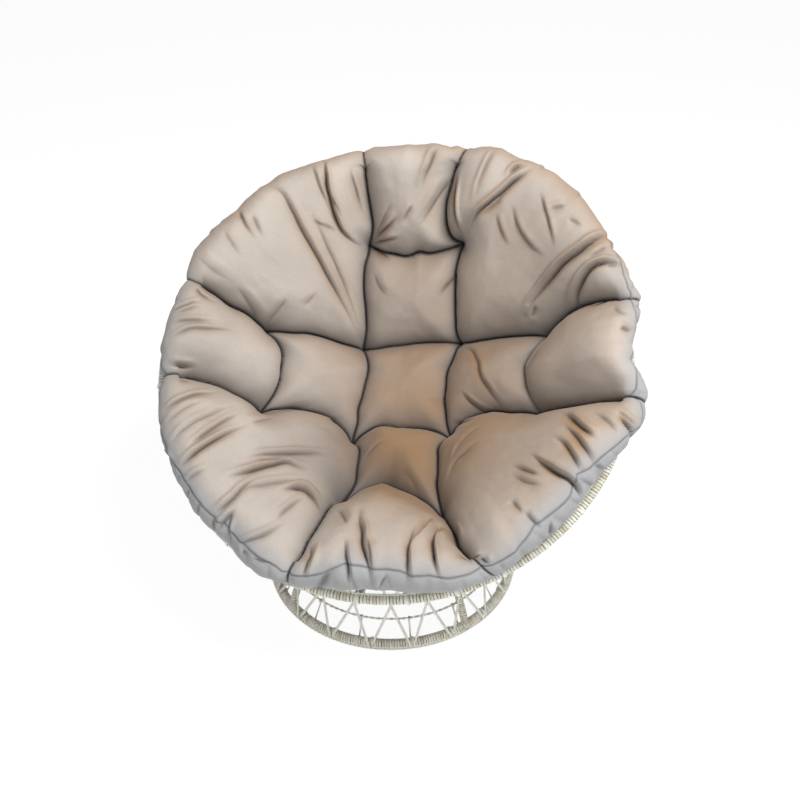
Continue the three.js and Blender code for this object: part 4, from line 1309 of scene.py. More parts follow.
@dataclass(frozen=True)
class SheetLine:
    """A line on the cushion's flat sheet, rounded at its bends."""

    points: np.ndarray
    depth: float
    width: float

    @classmethod
    def through(cls, places: np.ndarray, depth: float, width: float) -> "SheetLine":
        """Makes a line through places of the sheet, without those that lie close after another.

        Args:
            places: The places in metres.
            depth: The line's depth in millimetres.
            width: Its width in millimetres.

        Returns:
            The line in metres.
        """
        kept = [places[0]]
        for place in places[1:]:
            if np.abs(place - kept[-1]).sum() > CLOSE_PLACES:
                kept.append(place)
        points = np.array(kept)
        for _ in range(2):
            if len(points) > 2:
                cut = np.empty((2 * len(points) - 2, 2))
                cut[0::2] = 0.75 * points[:-1] + 0.25 * points[1:]
                cut[1::2] = 0.25 * points[:-1] + 0.75 * points[1:]
                cut[0], cut[-1] = points[0], points[-1]
                points = cut
        return cls(points, depth / 1000, width / 1000)

    def measure(self, x: np.ndarray, y: np.ndarray, reach: float) -> tuple[np.ndarray, ...]:
        """Finds the points near the line, and where they lie by it.

        Args:
            x: The sheet's first coordinate at every point.
            y: The sheet's second coordinate at every point.
            reach: How far from the line a point still counts.

        Returns:
            A mask of the near points, their distances, their shares of the way along, and their side: 1
            behind the line, -1 in front of it.
        """
        low, high = self.points.min(0) - reach, self.points.max(0) + reach
        near = (x > low[0]) & (x < high[0]) & (y > low[1]) & (y < high[1])
        across, along = x[near], y[near]
        gap, share, side = np.full(across.shape, 9.0), np.zeros(across.shape), np.zeros(across.shape)
        steps = np.linalg.norm(np.diff(self.points, axis=0), axis=1)
        whole = self.points[-1] - self.points[0]
        lean = 0.3 * abs(whole[1])
        facing = -1 if whole[0] < -lean or (whole[0] <= lean and whole[1] > 0) else 1
        start_length = 0.0
        for start, end, length in zip(self.points[:-1], self.points[1:], steps):
            way = (end - start) / length
            run = np.clip((across - start[0]) * way[0] + (along - start[1]) * way[1], 0, length)
            distance = np.hypot(across - start[0] - run * way[0], along - start[1] - run * way[1])
            beside = facing * ((along - start[1]) * way[0] - (across - start[0]) * way[1])
            closer = distance < gap
            side[closer] = beside[closer] / np.maximum(distance[closer], 1e-6)
            gap[closer] = distance[closer]
            share[closer] = (start_length + run[closer]) / steps.sum()
            start_length += length
        return near, gap, share, np.clip(side, -1, 1)

    def press(self, x: np.ndarray, y: np.ndarray, inward: np.ndarray, shade: np.ndarray,
              fold_warm_shade: np.ndarray) -> None:
        """Adds the line as a pleat: a narrow valley with a steep side and a ridge behind it.

        Args:
            x: The sheet's first coordinate at every point.
            y: The sheet's second coordinate at every point.
            inward: The depths, which are changed in place.
            shade: The painted shade of narrow valleys, which is changed in place.
            fold_warm_shade: The painted warm shade beside the folds, which is changed in place.
        """
        near, gap, share, side = self.measure(x, y, 5 * self.width)
        swell = ramp(share, -0.05, 0.30) * (1 - ramp(share, 0.50, 1.0))
        valley = np.exp(-(gap / (self.width * (1 - 0.5 * side))) ** 1.1)
        ridge = np.exp(-((gap - 1.6 * self.width) / self.width) ** 2) * (0.55 + 0.45 * side)
        inward[near] += 1.9 * self.depth * swell * (valley - 0.6 * ridge)
        # Painted shade: a dark line in the valley, and warm painted shade beside it.
        dark = np.clip(self.depth / 0.0068, 0, 1) * swell * np.exp(-(gap / 0.0024) ** 2)
        shade[near] = np.maximum(shade[near], dark)
        fold_warm_shade[near] += np.clip(self.depth / 0.006, 0.3, 1) * swell * np.exp(-(gap / (2.2 * self.width)) ** 2)


def ramp(value: np.ndarray, low: float, high: float) -> np.ndarray:
    """Rises smoothly from 0 to 1 between two values."""
    share = np.clip((value - low) / (high - low), 0, 1)
    return share * share * (3 - 2 * share)


def soft_noise(x: np.ndarray, y: np.ndarray, size: float, seed: int) -> np.ndarray:
    """Makes smooth seeded noise.

    Args:
        x: The first coordinate at every point.
        y: The second coordinate at every point.
        size: The width of the noise's lumps.
        seed: The seed.

    Returns:
        Values from about -1 to 1.
    """
    lattice = np.random.default_rng(seed).uniform(-1, 1, (257, 257))
    across, along = x / size + 128.3, y / size + 128.7
    column, row = np.floor(across).astype(int) % 256, np.floor(along).astype(int) % 256
    share_x, share_y = ramp(across - np.floor(across), 0, 1), ramp(along - np.floor(along), 0, 1)
    near = lattice[row, column] * (1 - share_x) + lattice[row, column + 1] * share_x
    far = lattice[row + 1, column] * (1 - share_x) + lattice[row + 1, column + 1] * share_x
    return near * (1 - share_y) + far * share_y


@dataclass
class Tracer:
    """Carries spots that were traced in the photograph to the cushion's flat sheet.

    The ray from the camera through a spot meets the plain cushion, which has one even depth in place of its
    creases and folds. The sheet's place there is the spot's place.
    """

    view: Matrix
    focal: float
    solid: np.ndarray
    sheet: np.ndarray
    triangles: np.ndarray
    retreat: float = 0.0012
    tries: int = 60

    def __post_init__(self) -> None:
        """Prepares the search for the face that a ray meets."""
        self.tree = BVHTree.FromPolygons(self.solid.tolist(), self.triangles.tolist())

    def find(self, spot: Spot | Tuft) -> np.ndarray:
        """Finds a spot's place on the flat sheet.

        Where the ray passes the cushion's edge, the spot goes back towards the cushion's middle until the
        ray meets the cloth.

        Args:
            spot: The crop and the place in its enlarged pixels.

        Returns:
            The sheet's coordinates in metres, rounded to the millimetre.
        """
        crop, *place = spot.value if isinstance(spot, Tuft) else spot
        middle = np.array(CUSHION_MIDDLE)
        outward = np.array(crop.value) + np.array(place) / CROP_ZOOM - middle
        for number in range(self.tries):
            pixel = middle + outward * (1 - number * self.retreat)
            across, down = (pixel - PHOTO_SIDE / 2) / self.focal
            way = self.view.to_3x3() @ Vector((across, -down, -1.0))
            met, _, face, _ = self.tree.ray_cast(self.view.translation, way)
            if met is not None:
                corners = self.triangles[face]
                solid, sheet = map(Vector, self.solid[corners]), map(Vector, self.sheet[corners])
                return np.round(np.array(barycentric_transform(met, *solid, *sheet)[:2]), 3)
        raise ValueError(f"the cushion has no cloth at {spot}")

    def line(self, spots: tuple[Spot | Tuft, ...]) -> np.ndarray:
        """Returns the places of a line of spots on the flat sheet."""
        return np.array([self.find(spot) for spot in spots])


@dataclass
class Cushion:
    """The big round pad: thirteen puffed panels between twelve tufts, a rolled edge and a seamed band.

    Its sheet is laid out flat: the distance from the middle is the radius on the top, and goes on as length
    round the rolled edge. Creases, tufts, folds and seams are placed on this sheet.
    """

    chair: Chair
    finishes: Finishes
    studio: "Studio"
    radius: float = 0.536
    edge_inset: float = 0.055
    shift: tuple[float, float] = (0.010, 0.012)
    turn: float = 2.6
    middle_thickness: float = 0.0861
    outer_thickness: float = 0.1181
    edge_crown: float = 0.110
    edge_middle: float = 0.062
    crown_blend: float = 0.070
    bowl_sphere: float = 0.648227
    bowl_centre: float = 0.373227
    under_depth: float = 0.0275
    seam_height: float = 0.0143
    seam_inset: float = 0.012
    over_rim: float = 0.515
    under_edge: float = 0.488
    outer_reach: float = 0.321
    rim_clearance: float = 0.019
    tuft_depth: float = 0.010
    tuft_reach: float = 0.030
    upper_seam: float = 0.572
    lower_seam: float = 0.622
    crease_depth: float = 46.0
    crease_width: float = 70.0
    crease_spread: float = 1.3
    crease_growth: float = 0.25
    crease_cusp: float = 0.010
    crease_line: float = 0.0025
    crease_level: float = 0.052
    crease_stop: float = 0.590
    crease_end: float = 0.600
    fold_level: float = 0.008
    full_reach: float = 0.47
    waver: float = 0.002
    waver_size: float = 0.03
    pull_depth: float = 0.0018
    pull_size: float = 0.034
    lumps: tuple[tuple[float, float, int], ...] = ((0.0026, 0.085, 5), (0.0016, 0.040, 6), (0.0005, 0.014, 7))
    seam_groove: float = 0.0026
    seam_width: float = 0.0030
    slack_depth: float = 0.0050
    slack_shade: float = 0.60
    columns: int = 1120
    plain_columns: int = 280
    step: float = 0.0025
    under_step: float = 0.012
    fill: float = 0.75
    shaded_spots: tuple[tuple[float, float, float, float], ...] = (
        (-0.15, -0.20, 0.10, 0.50), (0.21, 0.00, 0.14, 0.20), (0.00, 0.19, 0.10, 0.26),
        (0.22, 0.19, 0.14, 0.12), (0.0, 0.0, 0.12, 0.10), (0.17, -0.22, 0.10, 0.25),
        (0.42, 0.28, 0.16, 0.16), (-0.16, 0.16, 0.10, 0.14), (-0.46, -0.02, 0.10, 0.22),
    )
    tufts: np.ndarray = field(init=False)
    creases: list[SheetLine] = field(default_factory=list, init=False)
    folds: list[SheetLine] = field(default_factory=list, init=False)
    upper_line: np.ndarray = field(init=False)

    def build(self) -> None:
        """Makes the cushion and hands it to the frame."""
        meridian = self.meridian()
        radii, _, reach, under = meridian
        self.trace(meridian)
        azimuths = np.linspace(0, FULL_TURN, self.columns, endpoint=False)
        flat_x, flat_y = np.outer(reach, np.cos(azimuths)), np.outer(reach, np.sin(azimuths))
        fields = self.depths(flat_x, flat_y)
        fields["tilt"] = self.tilt(fields["inward"], reach, azimuths)
        inward = fields["inward"] * (1 - under)[:, None]
        inward += self.under_dimples(radii, azimuths) * under[:, None]
        pad = surface("seat_cushion_pad", self.laid(meridian, azimuths, inward),
                      self.faces(len(radii), self.columns))
        self.paint(pad, flat_x, flat_y, fields, np.broadcast_to(under[:, None], flat_x.shape))
        pad.data.materials.append(self.finishes.fabric)
        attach(pad, Body.SEAT.value)
        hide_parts("seat_cushion")
        LOG.info("%s: %d faces", pad.name, len(pad.data.polygons))

    def trace(self, meridian: Meridian) -> None:
        """Finds the tufts, creases, folds and upper seam on the flat sheet, as the photograph shows them.

        Args:
            meridian: The line from the middle of the top to the middle of the underside.
        """
        deep, shallow = self.tracer(meridian, self.crease_level), self.tracer(meridian, self.fold_level)
        self.tufts = deep.line(tuple(Tuft))
        for name, spots in CREASES.items():
            places = deep.line(spots)
            if name.endswith("edge"):
                places = self.run_on(places)
            share = SOFT_CREASES.get(name, 1.0)
            self.creases.append(SheetLine.through(places, self.crease_depth * share, self.crease_width))
        for crop, folds in FOLDS.items():
            for depth, width, places in folds:
                spots = tuple((crop, *place) for place in places)
                self.folds.append(SheetLine.through(shallow.line(spots), depth, width))
        seam = [(math.degrees(math.atan2(y, x)), math.hypot(x, y)) for x, y in shallow.line(SEEN_SEAM)]
        seam += [(turn, reach / 1000) for turn, reach in HIDDEN_SEAM]
        self.upper_line = np.array(seam)

    def run_on(self, places: np.ndarray) -> np.ndarray:
        """Carries a crease on round the edge, where its outer end stops short of it."""
        reach = np.hypot(*places.T)
        outer = 0 if reach[0] > reach[-1] else len(places)
        end = places[min(outer, len(places) - 1)]
        if reach.max() >= self.crease_stop:
            return places
        return np.insert(places, outer, end * self.crease_end / np.hypot(*end), axis=0)

    def tracer(self, meridian: Meridian, level: float) -> Tracer:
        """Makes the plain cushion at an even depth, and the tracer that casts onto it.

        Args:
            meridian: The line from the middle of the top to the middle of the underside.
            level: The depth in the middle of the top.

        Returns:
            The tracer.
        """
        _, _, reach, under = meridian
        azimuths = np.linspace(0, FULL_TURN, self.plain_columns, endpoint=False)
        depth = level * (1 - 0.60 * ramp(reach, self.full_reach, self.upper_seam)
                         - 0.30 * ramp(reach, self.upper_seam, self.lower_seam)) * (1 - under)
        solid = self.laid(meridian, azimuths, np.repeat(depth[:, None], self.plain_columns, 1))
        sheet = np.stack([np.outer(reach, np.cos(azimuths)), np.outer(reach, np.sin(azimuths)),
                          np.zeros((len(reach), self.plain_columns))], 2).reshape(-1, 3)
        quads, _ = self.faces(len(reach), self.plain_columns)
        triangles = np.concatenate([quads[:, [0, 1, 2]], quads[:, [0, 2, 3]]])
        return Tracer(self.studio.pose(), self.studio.focal / self.studio.sensor * PHOTO_SIDE,
                      solid, sheet, triangles)

    def laid(self, meridian: Meridian, azimuths: np.ndarray, inward: np.ndarray) -> np.ndarray:
        """Lays the sheet over the dish and draws it in.

        Args:
            meridian: The line from the middle of the top to the middle of the underside.
            azimuths: The direction of each column.
            inward: The depth of each point.

        Returns:
            The points in the world, row by row, and then the two poles.
        """
        radii, heights, reach, under = meridian
        slope = np.stack([np.gradient(radii), np.gradient(heights)], 1)
        slope /= np.linalg.norm(slope, axis=1, keepdims=True)
        ring_radii = radii[:, None] + inward * slope[:, 1:2]
        ring_heights = heights[:, None] - inward * slope[:, :1]
        pull = self.pulled_in(azimuths)
        pull = np.where(pull > 0, pull, pull * (1 - under)[:, None])
        ring_radii *= 1 - ramp(reach, 0.30, 0.52)[:, None] * pull
        ring_radii *= 1 - np.outer(ramp(reach, 0.50, 0.575), self.drawn_back(azimuths))
        shift = ((1 - under) * (0.5 + 0.5 * (1 - ramp(reach, self.upper_seam, self.lower_seam))))[:, None]
        x = ring_radii * np.cos(azimuths) + self.shift[0] * shift
        y = ring_radii * np.sin(azimuths) + self.shift[1] * shift
        points = np.stack([x.ravel(), y.ravel(), ring_heights.ravel()], 1)
        middle = np.array([[self.shift[0], self.shift[1], float(ring_heights[0].mean())],
                           [0.0, 0.0, float(ring_heights[-1].mean())]])
        return placed(np.concatenate([points, middle]), self.place())

    def place(self) -> Matrix:
        """Returns the cushion's place in the bowl, with its small turn."""
        return self.chair.bowl_place @ Matrix.Rotation(math.radians(self.turn), 4, "Z")

    def pulled_in(self, azimuths: np.ndarray) -> np.ndarray:
        """Returns the share by which the outline is drawn in at each direction."""
        turns = np.radians([row[0] for row in OUTLINE])
        shares = np.array([row[1] for row in OUTLINE]) / 1000
        return np.interp(azimuths, turns, shares, period=FULL_TURN)

    def drawn_back(self, azimuths: np.ndarray) -> np.ndarray:
        """Returns the share by which the band is drawn back from the rim at each direction."""
        turns = np.radians([-62.0, -50.0, -28.0, -16.0, -8.0, -3.0, 8.0, 15.0])
        shares = (0.0, 1.0, 1.0, 0.0, 0.0, 0.9, 0.6, 0.0)
        return self.rim_clearance * np.interp(azimuths, turns, shares, period=FULL_TURN)

    def under_height(self, radius: np.ndarray) -> np.ndarray:
        """Returns the height of the underside, which lies in the bowl, at a radius."""
        sphere = self.bowl_sphere - self.under_depth
        within = np.minimum(radius, self.radius - self.edge_inset)
        return self.bowl_centre - np.sqrt(sphere ** 2 - within ** 2)

    def crown(self, radius: np.ndarray) -> np.ndarray:
        """Returns the height of the full panels at a radius."""
        thickness = self.middle_thickness + (self.outer_thickness - self.middle_thickness) * ramp(
            radius, 0.0, self.outer_reach)
        slope = np.sqrt(1 - (radius / (self.bowl_sphere - self.under_depth)) ** 2)
        free = self.under_height(radius) + thickness / slope
        share = np.clip(0.5 + (self.edge_crown - free) / (2 * self.crown_blend), 0, 1)
        mixed = self.edge_crown + (free - self.edge_crown) * share
        return mixed - self.crown_blend * share * (1 - share)

    def meridian(self) -> Meridian:
        """Lays out one line from the middle of the top, round the edge, to the middle of the underside.

        Returns:
            The radii, the heights, the reach on the flat sheet, and 1 where the line is underneath.
        """
        top_radius = self.radius - self.edge_inset
        top = np.arange(self.step, top_radius, self.step)
        line = [np.stack([top, self.crown(top)], 1)]
        drop = self.edge_crown - self.edge_middle
        turns = np.radians(np.linspace(88, -25, round(0.105 / self.step)))
        line.append(np.stack([top_radius + self.edge_inset * np.cos(turns),
                              self.edge_middle + drop * np.sin(turns)], 1))
        seam = np.array([self.radius - self.seam_inset, self.seam_height])
        corners = [line[-1][-1], seam, np.array([self.over_rim, self.seam_height]),
                   np.array([self.under_edge, float(self.under_height(np.array(self.under_edge)))])]
        for start, end in zip(corners, corners[1:]):
            steps = max(2, round(float(np.linalg.norm(end - start)) / self.step))
            line.append(start + (end - start) * np.linspace(0, 1, steps + 1)[1:, None])
        under = np.arange(self.under_edge - self.under_step, self.under_step / 2, -self.under_step)
        line.append(np.stack([under, self.under_height(under)], 1))
        points = np.concatenate(line)
        edge = len(top) - 12
        for _ in range(10):
            points[edge:-1] = (points[edge - 1:-2] + 2 * points[edge:-1] + points[edge + 1:]) / 4
        lengths = np.concatenate([[0], np.cumsum(np.linalg.norm(np.diff(points, axis=0), axis=1))])
        reach = points[:, 0].copy()
        reach[len(top):] = top[-1] + lengths[len(top):] - lengths[len(top) - 1]
        beneath = ramp(reach, self.lower_seam - 0.006, self.lower_seam + 0.008)
        return points[:, 0], points[:, 1], reach, beneath

    def tuft_gap(self, x: np.ndarray, y: np.ndarray) -> np.ndarray:
        """Returns the distance to the nearest tuft."""
        gap = np.full(x.shape, 9.0)
        for tuft_x, tuft_y in self.tufts:
            gap = np.minimum(gap, np.hypot(x - tuft_x, y - tuft_y))
        return gap

    def depths(self, x: np.ndarray, y: np.ndarray) -> dict[str, np.ndarray]:
        """Works out how far each point of the sheet is drawn in, and where shade is painted on it.

        Args:
            x: The sheet's first coordinate.
            y: The sheet's second coordinate.

        Returns:
            The depths ("inward"), the painted shade of narrow valleys ("shade"), the painted warm shade by
            folds ("stain") and the distance to the nearest crease ("gap").
        """
        reach = np.hypot(x, y)
        inward, shade, fold_warm_shade = np.zeros(x.shape), np.zeros(x.shape), np.zeros(x.shape)
        nearest = np.full(x.shape, 0.09)
        waver_x = x + self.waver * soft_noise(x, y, self.waver_size, 3)
        waver_y = y + self.waver * soft_noise(x, y, self.waver_size, 4)
        for crease in self.creases:
            spread = self.crease_spread * crease.width
            near, gap, *_ = crease.measure(waver_x, waver_y, spread)
            level = np.clip(1 - gap / spread, 0, 1)
            round_drop, cusp = 1 - np.sqrt(1 - level ** 2), np.exp(-gap / self.crease_cusp)
            depth = crease.depth * (1 + self.crease_growth * ramp(reach[near], 0.15, 0.32))
            drop = depth * (0.6 * round_drop + 0.4 * level ** 2 + 0.22 * cusp)
            inward[near] += drop ** 3
            nearest[near] = np.minimum(nearest[near], gap)
            # Painted shade: a dark line along each crease.
            share = crease.depth * 1000 / self.crease_depth
            dark = share ** 2 * np.clip(1.4 * np.exp(-(gap / self.crease_line) ** 2), 0, 1)
            shade[near] = np.maximum(shade[near], dark)
        inward = np.cbrt(inward) + self.tuft_depth * np.exp(-self.tuft_gap(x, y) / self.tuft_reach)
        inward *= 1 - 0.84 * ramp(reach, 0.43, 0.56) - 0.12 * ramp(reach, 0.56, self.lower_seam)
        for fold in self.folds + self.gathers():
            fold.press(waver_x, waver_y, inward, shade, fold_warm_shade)
        turn = np.arctan2(y, x)
        around_x, around_y = (0.39 + 0.22 * reach) * np.cos(turn), (0.39 + 0.22 * reach) * np.sin(turn)
        pulls = soft_noise(around_x, around_y, self.pull_size, 9)
        pulls += 0.5 * soft_noise(around_x, around_y, 0.019, 10)
        inward += self.pull_depth * pulls * ramp(reach, 0.30, 0.50)
        for height, size, seed in self.lumps:
            inward += height * soft_noise(x, y, size, seed)
        seam = self.seam_line(x, y)
        inward += self.seam_groove * np.exp(-(seam / self.seam_width) ** 2)
        shade *= 1 - ramp(reach, 0.57, 0.61)
        slack = self.crinkles(turn, reach, seam)
        inward += self.slack_depth * slack
        # Painted shade in the gathers.
        shade = np.maximum(shade, self.slack_shade * slack ** 1.5)
        return {"inward": inward, "shade": shade, "fold_warm_shade": np.clip(fold_warm_shade, 0, 1), "gap": nearest}

    def crinkles(self, turn: np.ndarray, reach: np.ndarray, seam: np.ndarray) -> np.ndarray:
        """Works out the small gathers across the band, where the cloth hangs slack.

        Args:
            turn: The direction of every point of the sheet.
            reach: Its distance from the middle.
            seam: Its distance from the upper seam.

        Returns:
            How much of a gather's depth each point has.
        """
        lean = 18 * (reach - self.upper_seam)
        wide = (0.5 + 0.5 * np.sin(43 * turn + 2.5 * np.sin(6 * turn) + lean)) ** 8
        narrow = (0.5 + 0.5 * np.sin(79 * turn + 3 * np.sin(5 * turn + 1) - 2 * lean)) ** 8
        share = 0.5 + 0.5 * np.sin(9 * turn + 2 * np.sin(4 * turn))
        strength = 0.35 + 0.65 * ramp(np.sin(7 * turn + 2 * np.sin(3 * turn)), -0.8, 0.6)
        across = ramp(seam, -0.012, 0.014) * (1 - ramp(reach, self.lower_seam, self.lower_seam + 0.02))
        return across * strength * np.clip(share * wide + (1 - share) * narrow, 0, 1)

    def seam_line(self, x: np.ndarray, y: np.ndarray) -> np.ndarray:
        """Returns the distance from the upper seam, which wavers."""
        turns, reaches = np.radians(self.upper_line[:, 0]), self.upper_line[:, 1]
        return np.hypot(x, y) - np.interp(np.arctan2(y, x), turns, reaches, period=FULL_TURN)

    def gathers(self) -> list[SheetLine]:
        """Places small gathers round the part of the edge that faces back, by chance."""
        chance = np.random.default_rng(27)
        found = []
        for turn in np.radians(np.arange(28, 222, 6.5)):
            turn += chance.uniform(-0.03, 0.03)
            bend = chance.uniform(-0.05, 0.05)
            near, far = chance.uniform(0.50, 0.55), chance.uniform(0.59, 0.625)
            points = np.array([[far * math.cos(turn), far * math.sin(turn)],
                               [near * math.cos(turn + bend), near * math.sin(turn + bend)]])
            found.append(SheetLine(points, chance.uniform(0.001, 0.003), chance.uniform(0.006, 0.010)))
        return found

    @staticmethod
    def tilt(inward: np.ndarray, reach: np.ndarray, azimuths: np.ndarray) -> np.ndarray:
        """Works out how much the cloth leans: above 0 where it faces back, below 0 where it faces front.

        Args:
            inward: The depths.
            reach: The reach of each row.
            azimuths: The direction of each column.

        Returns:
            The slope along the sheet's second coordinate.
        """
        outward = np.gradient(inward, axis=0) / np.maximum(np.gradient(reach), 0.001)[:, None]
        round_about = (np.roll(inward, -1, 1) - np.roll(inward, 1, 1)) / (2 * azimuths[1]) / reach[:, None]
        return np.sin(azimuths) * outward + np.cos(azimuths) * round_about

    def under_dimples(self, radii: np.ndarray, azimuths: np.ndarray) -> np.ndarray:
        """Returns how far the underside is drawn in at the tufts."""
        x, y = np.outer(radii, np.cos(azimuths)), np.outer(radii, np.sin(azimuths))
        return 0.010 * np.exp(-self.tuft_gap(x, y) / 0.028)

    @staticmethod
    def faces(rows: int, columns: int) -> list[np.ndarray]:
        """Joins the rows of points into faces, with a fan at each pole.

        Args:
            rows: The number of rows.
            columns: The number of columns.

        Returns:
            The corners of the quads and of the triangles.
        """
        column = np.arange(columns)
        following = (column + 1) % columns
        row = np.arange(rows - 1)[:, None] * columns
        quads = np.stack([row + column, row + columns + column,
                          row + columns + following, row + following], 2).reshape(-1, 4)
        top, bottom = rows * columns, rows * columns + 1
        last = (rows - 1) * columns
        fans = np.concatenate([
            np.stack([np.full(columns, top), column, following], 1),
            np.stack([np.full(columns, bottom), last + following, last + column], 1),
        ])
        return [quads, fans]

    def paint(self, pad: bpy.types.Object, x: np.ndarray, y: np.ndarray, fields: dict[str, np.ndarray],
              under: np.ndarray) -> None:
        """Keeps the masks that the cloth's material reads: where shade is painted, and where the seams are
        dark.

        Args:
            pad: The cushion.
            x: The sheet's first coordinate at every point.
            y: The sheet's second coordinate.
            fields: What the creases and folds left.
            under: 1 where the cloth is underneath.
        """
        reach = np.hypot(x, y)
        seam = self.seam_line(x, y)
        # Where warm painted shade lies: the front, the right, the back edge, the middle, and cloth that faces
        # back.
        front = np.exp(-((x - 0.03) / 0.17) ** 2 - ((y + 0.21) / 0.14) ** 2)
        right = np.exp(-((x - 0.24) / 0.25) ** 2 - ((y + 0.06) / 0.34) ** 2)
        back_edge = ramp(reach, 0.46, 0.54) * ramp(y / np.maximum(reach, 0.01), 0.05, 0.6)
        middle = np.exp(-(reach / 0.20) ** 2)
        back_lean = np.tanh(np.maximum(fields["tilt"], 0))
        front_lean = np.tanh(np.maximum(-fields["tilt"], 0))
        warm = 0.95 * front + 0.50 * right + 0.65 * back_edge + 0.46 * middle
        warm += 0.50 * back_lean - 0.20 * front_lean
        # Where grey painted shade lies: cloth that faces front, by creases and tufts, and at the shaded
        # spots.
        painted_grey_shade = 0.30 * front_lean + (0.30 + 0.16 * ramp(y, -0.1, 0.1)) * np.exp(-fields["gap"] / 0.013)
        painted_grey_shade += 0.26 * np.exp(-self.tuft_gap(x, y) / 0.05)
        for place_x, place_y, size, share in self.shaded_spots:
            painted_grey_shade += share * np.exp(-((x - place_x) ** 2 + (y - place_y) ** 2) / size ** 2)
        lower = np.exp(-((reach - self.lower_seam) / 0.003) ** 2)
        stitched = np.maximum(np.exp(-(seam / 0.0024) ** 2), lower)
        # A painted shadow on the front square, below the front panel.
        deep = 0.34 * np.exp(-(x ** 2 + (y + 0.235) ** 2) / 0.06 ** 2)
        masks = {
            "painted_warm_shade": np.clip(warm + 0.42 * fields["fold_warm_shade"], 0, 1) * (1 - under),
            "painted_grey_shade": np.clip(painted_grey_shade, 0, 0.9) * (1 - ramp(reach, 0.46, 0.56)) * (1 - under),
            # The band's cooler grey, painted as its shade.
            "band": ramp(seam, -0.060, 0.010) * (1 - back_edge),
            "seam": np.maximum(np.maximum(0.6 * stitched, fields["shade"]), deep) * (1 - under),
        }
        for name, values in masks.items():
            attribute = pad.data.attributes.new(name, "FLOAT", "POINT")
            ends = [values[0].mean(), values[-1].mean()]
            attribute.data.foreach_set("value", np.concatenate([values.ravel(), ends]).astype(np.float32))


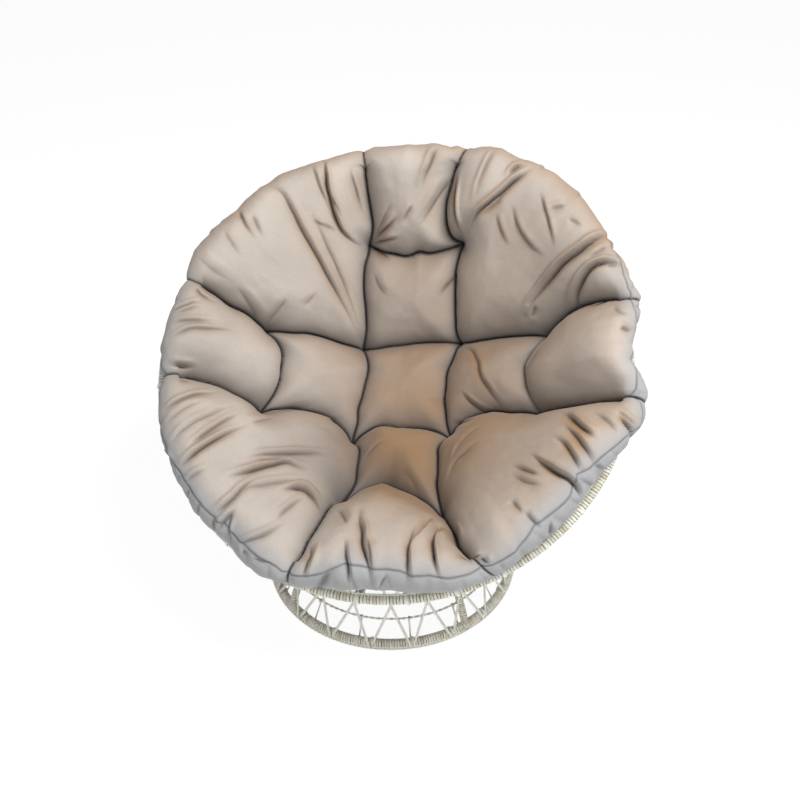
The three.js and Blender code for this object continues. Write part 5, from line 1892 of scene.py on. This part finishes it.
@dataclass
class Studio:
    """The pale floor, the soft lamps, the white surroundings and the camera."""

    chair: Chair
    camera_offset: tuple[float, float, float] = (0.3307, -1.7992, 1.8304)
    heading: float = 9.64
    pitch: float = 36.18
    roll: float = -0.80
    focal: float = 44.83
    sensor: float = 36.0
    ambient: float = 0.235
    floor_half: float = 14.0
    floor_shade: float = 0.95
    floor_glow: float = 1.2
    floor_share: float = 0.75
    aim_height: float = 0.45

    def build(self) -> None:
        """Makes everything round the chair."""
        self.build_camera()
        self.build_floor()
        self.build_lamp("overhead", (1.3, -0.5, 3.0), 1.3, 84.0)
        self.build_lamp("front", (0.6, -3.0, 2.4), 2.6, 12.0)
        self.build_lamp("left", (-3.0, -0.8, 1.8), 2.2, 9.0)
        self.build_lamp("low", (0.4, -2.8, 0.5), 1.6, 15.0)
        self.build_world()

    def pose(self) -> Matrix:
        """Returns the place and turn from which the photograph was taken."""
        heading, pitch, roll = (math.radians(value) for value in (self.heading, self.pitch, self.roll))
        forward = Vector((-math.sin(heading) * math.cos(pitch), math.cos(heading) * math.cos(pitch),
                          -math.sin(pitch)))
        level = Vector((math.cos(heading), math.sin(heading), 0.0))
        upright = level.cross(forward)
        right = level * math.cos(roll) + upright * math.sin(roll)
        turn = Matrix((right, right.cross(forward), -forward)).transposed().to_4x4()
        return Matrix.Translation(self.chair.axis + Vector(self.camera_offset)) @ turn

    def build_camera(self) -> None:
        """Places the camera as the photograph was taken."""
        lens = bpy.data.cameras.new("camera")
        lens.lens = self.focal
        lens.sensor_fit = "HORIZONTAL"
        lens.sensor_width = self.sensor
        camera = bpy.data.objects.new("camera", lens)
        bpy.context.collection.objects.link(camera)
        camera.matrix_world = self.pose()
        bpy.context.scene.camera = camera
        bpy.context.scene.view_settings.view_transform = "Standard"

    def build_floor(self) -> None:
        """Makes the pale floor, which keeps the chair's soft shadow."""
        half = self.floor_half
        corners = np.array([[-half, -half, 0.0], [half, -half, 0.0], [half, half, 0.0], [-half, half, 0.0]])
        floor = surface("floor", corners, [np.array([[0, 1, 2, 3]])])
        material = bpy.data.materials.new("pale_floor")
        material.use_nodes = True
        bench = NodeBench(material.node_tree)
        matt = bench.add("ShaderNodeBsdfDiffuse", {"Color": (*[self.floor_shade] * 3, 1.0)})
        glow = bench.add("ShaderNodeEmission", {"Color": (1.0, 1.0, 1.0, 1.0), "Strength": self.floor_glow})
        share = bench.math("MULTIPLY", self.seen_rays(bench), self.floor_share)
        mixed = bench.add("ShaderNodeMixShader", {"Fac": share})
        bench.feed(mixed.inputs[1], matt.outputs[0])
        bench.feed(mixed.inputs[2], glow.outputs[0])
        bench.add("ShaderNodeOutputMaterial", {"Surface": mixed.outputs[0]})
        floor.data.materials.append(material)

    @staticmethod
    def seen_rays(bench: NodeBench) -> bpy.types.NodeSocket:
        """Returns a socket that is 1 for camera, glossy and transmission rays."""
        rays = bench.add("ShaderNodeLightPath")
        first = bench.math("MAXIMUM", rays.outputs["Is Camera Ray"], rays.outputs["Is Glossy Ray"])
        return bench.math("MAXIMUM", first, rays.outputs["Is Transmission Ray"])

    def build_lamp(self, name: str, place: tuple[float, float, float], size: float, power: float) -> None:
        """Makes one soft square lamp that faces the seat.

        Args:
            name: The lamp's name.
            place: Where it hangs, from the swivel's axis.
            size: The length of its sides.
            power: Its power in watts.
        """
        light = bpy.data.lights.new(name, "AREA")
        light.shape = "SQUARE"
        light.size = size
        light.energy = power
        lamp = bpy.data.objects.new(name, light)
        bpy.context.collection.objects.link(lamp)
        stand = self.chair.axis + Vector(place)
        aim = self.chair.axis + Vector((0.0, 0.0, self.aim_height)) - stand
        lamp.matrix_world = Matrix.Translation(stand) @ aim.to_track_quat("-Z", "Y").to_matrix().to_4x4()

    def build_world(self) -> None:
        """Makes the surroundings: white where they are seen, and a plain soft level where they only light."""
        world = bpy.data.worlds.new("studio")
        world.use_nodes = True
        bpy.context.scene.world = world
        bench = NodeBench(world.node_tree)
        seen = self.seen_rays(bench)
        soft = bench.add("ShaderNodeBackground", {"Color": (1.0, 1.0, 1.0, 1.0), "Strength": self.ambient})
        white = bench.add("ShaderNodeBackground", {"Color": (1.0, 1.0, 1.0, 1.0), "Strength": 1.0})
        mixed = bench.add("ShaderNodeMixShader", {"Fac": seen})
        bench.feed(mixed.inputs[1], soft.outputs[0])
        bench.feed(mixed.inputs[2], white.outputs[0])
        bench.add("ShaderNodeOutputWorld", {"Surface": mixed.outputs[0]})


def main() -> None:
    """Builds the chair's sub-assemblies in order and the studio round them."""
    logging.basicConfig(level=logging.INFO, format="%(name)s: %(message)s")
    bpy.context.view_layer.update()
    chair = Chair()
    finishes = Finishes()
    trees = Trees()
    WickerBase(chair, finishes, trees, Body.BASE, chair.base_place).build()
    WickerBowl(chair, finishes, trees, Body.SEAT, chair.bowl_place).build()
    SwivelAndStays(chair, finishes, trees).build()
    studio = Studio(chair)
    Cushion(chair, finishes, studio).build()
    studio.build()


if __name__ == "__main__":
    main()
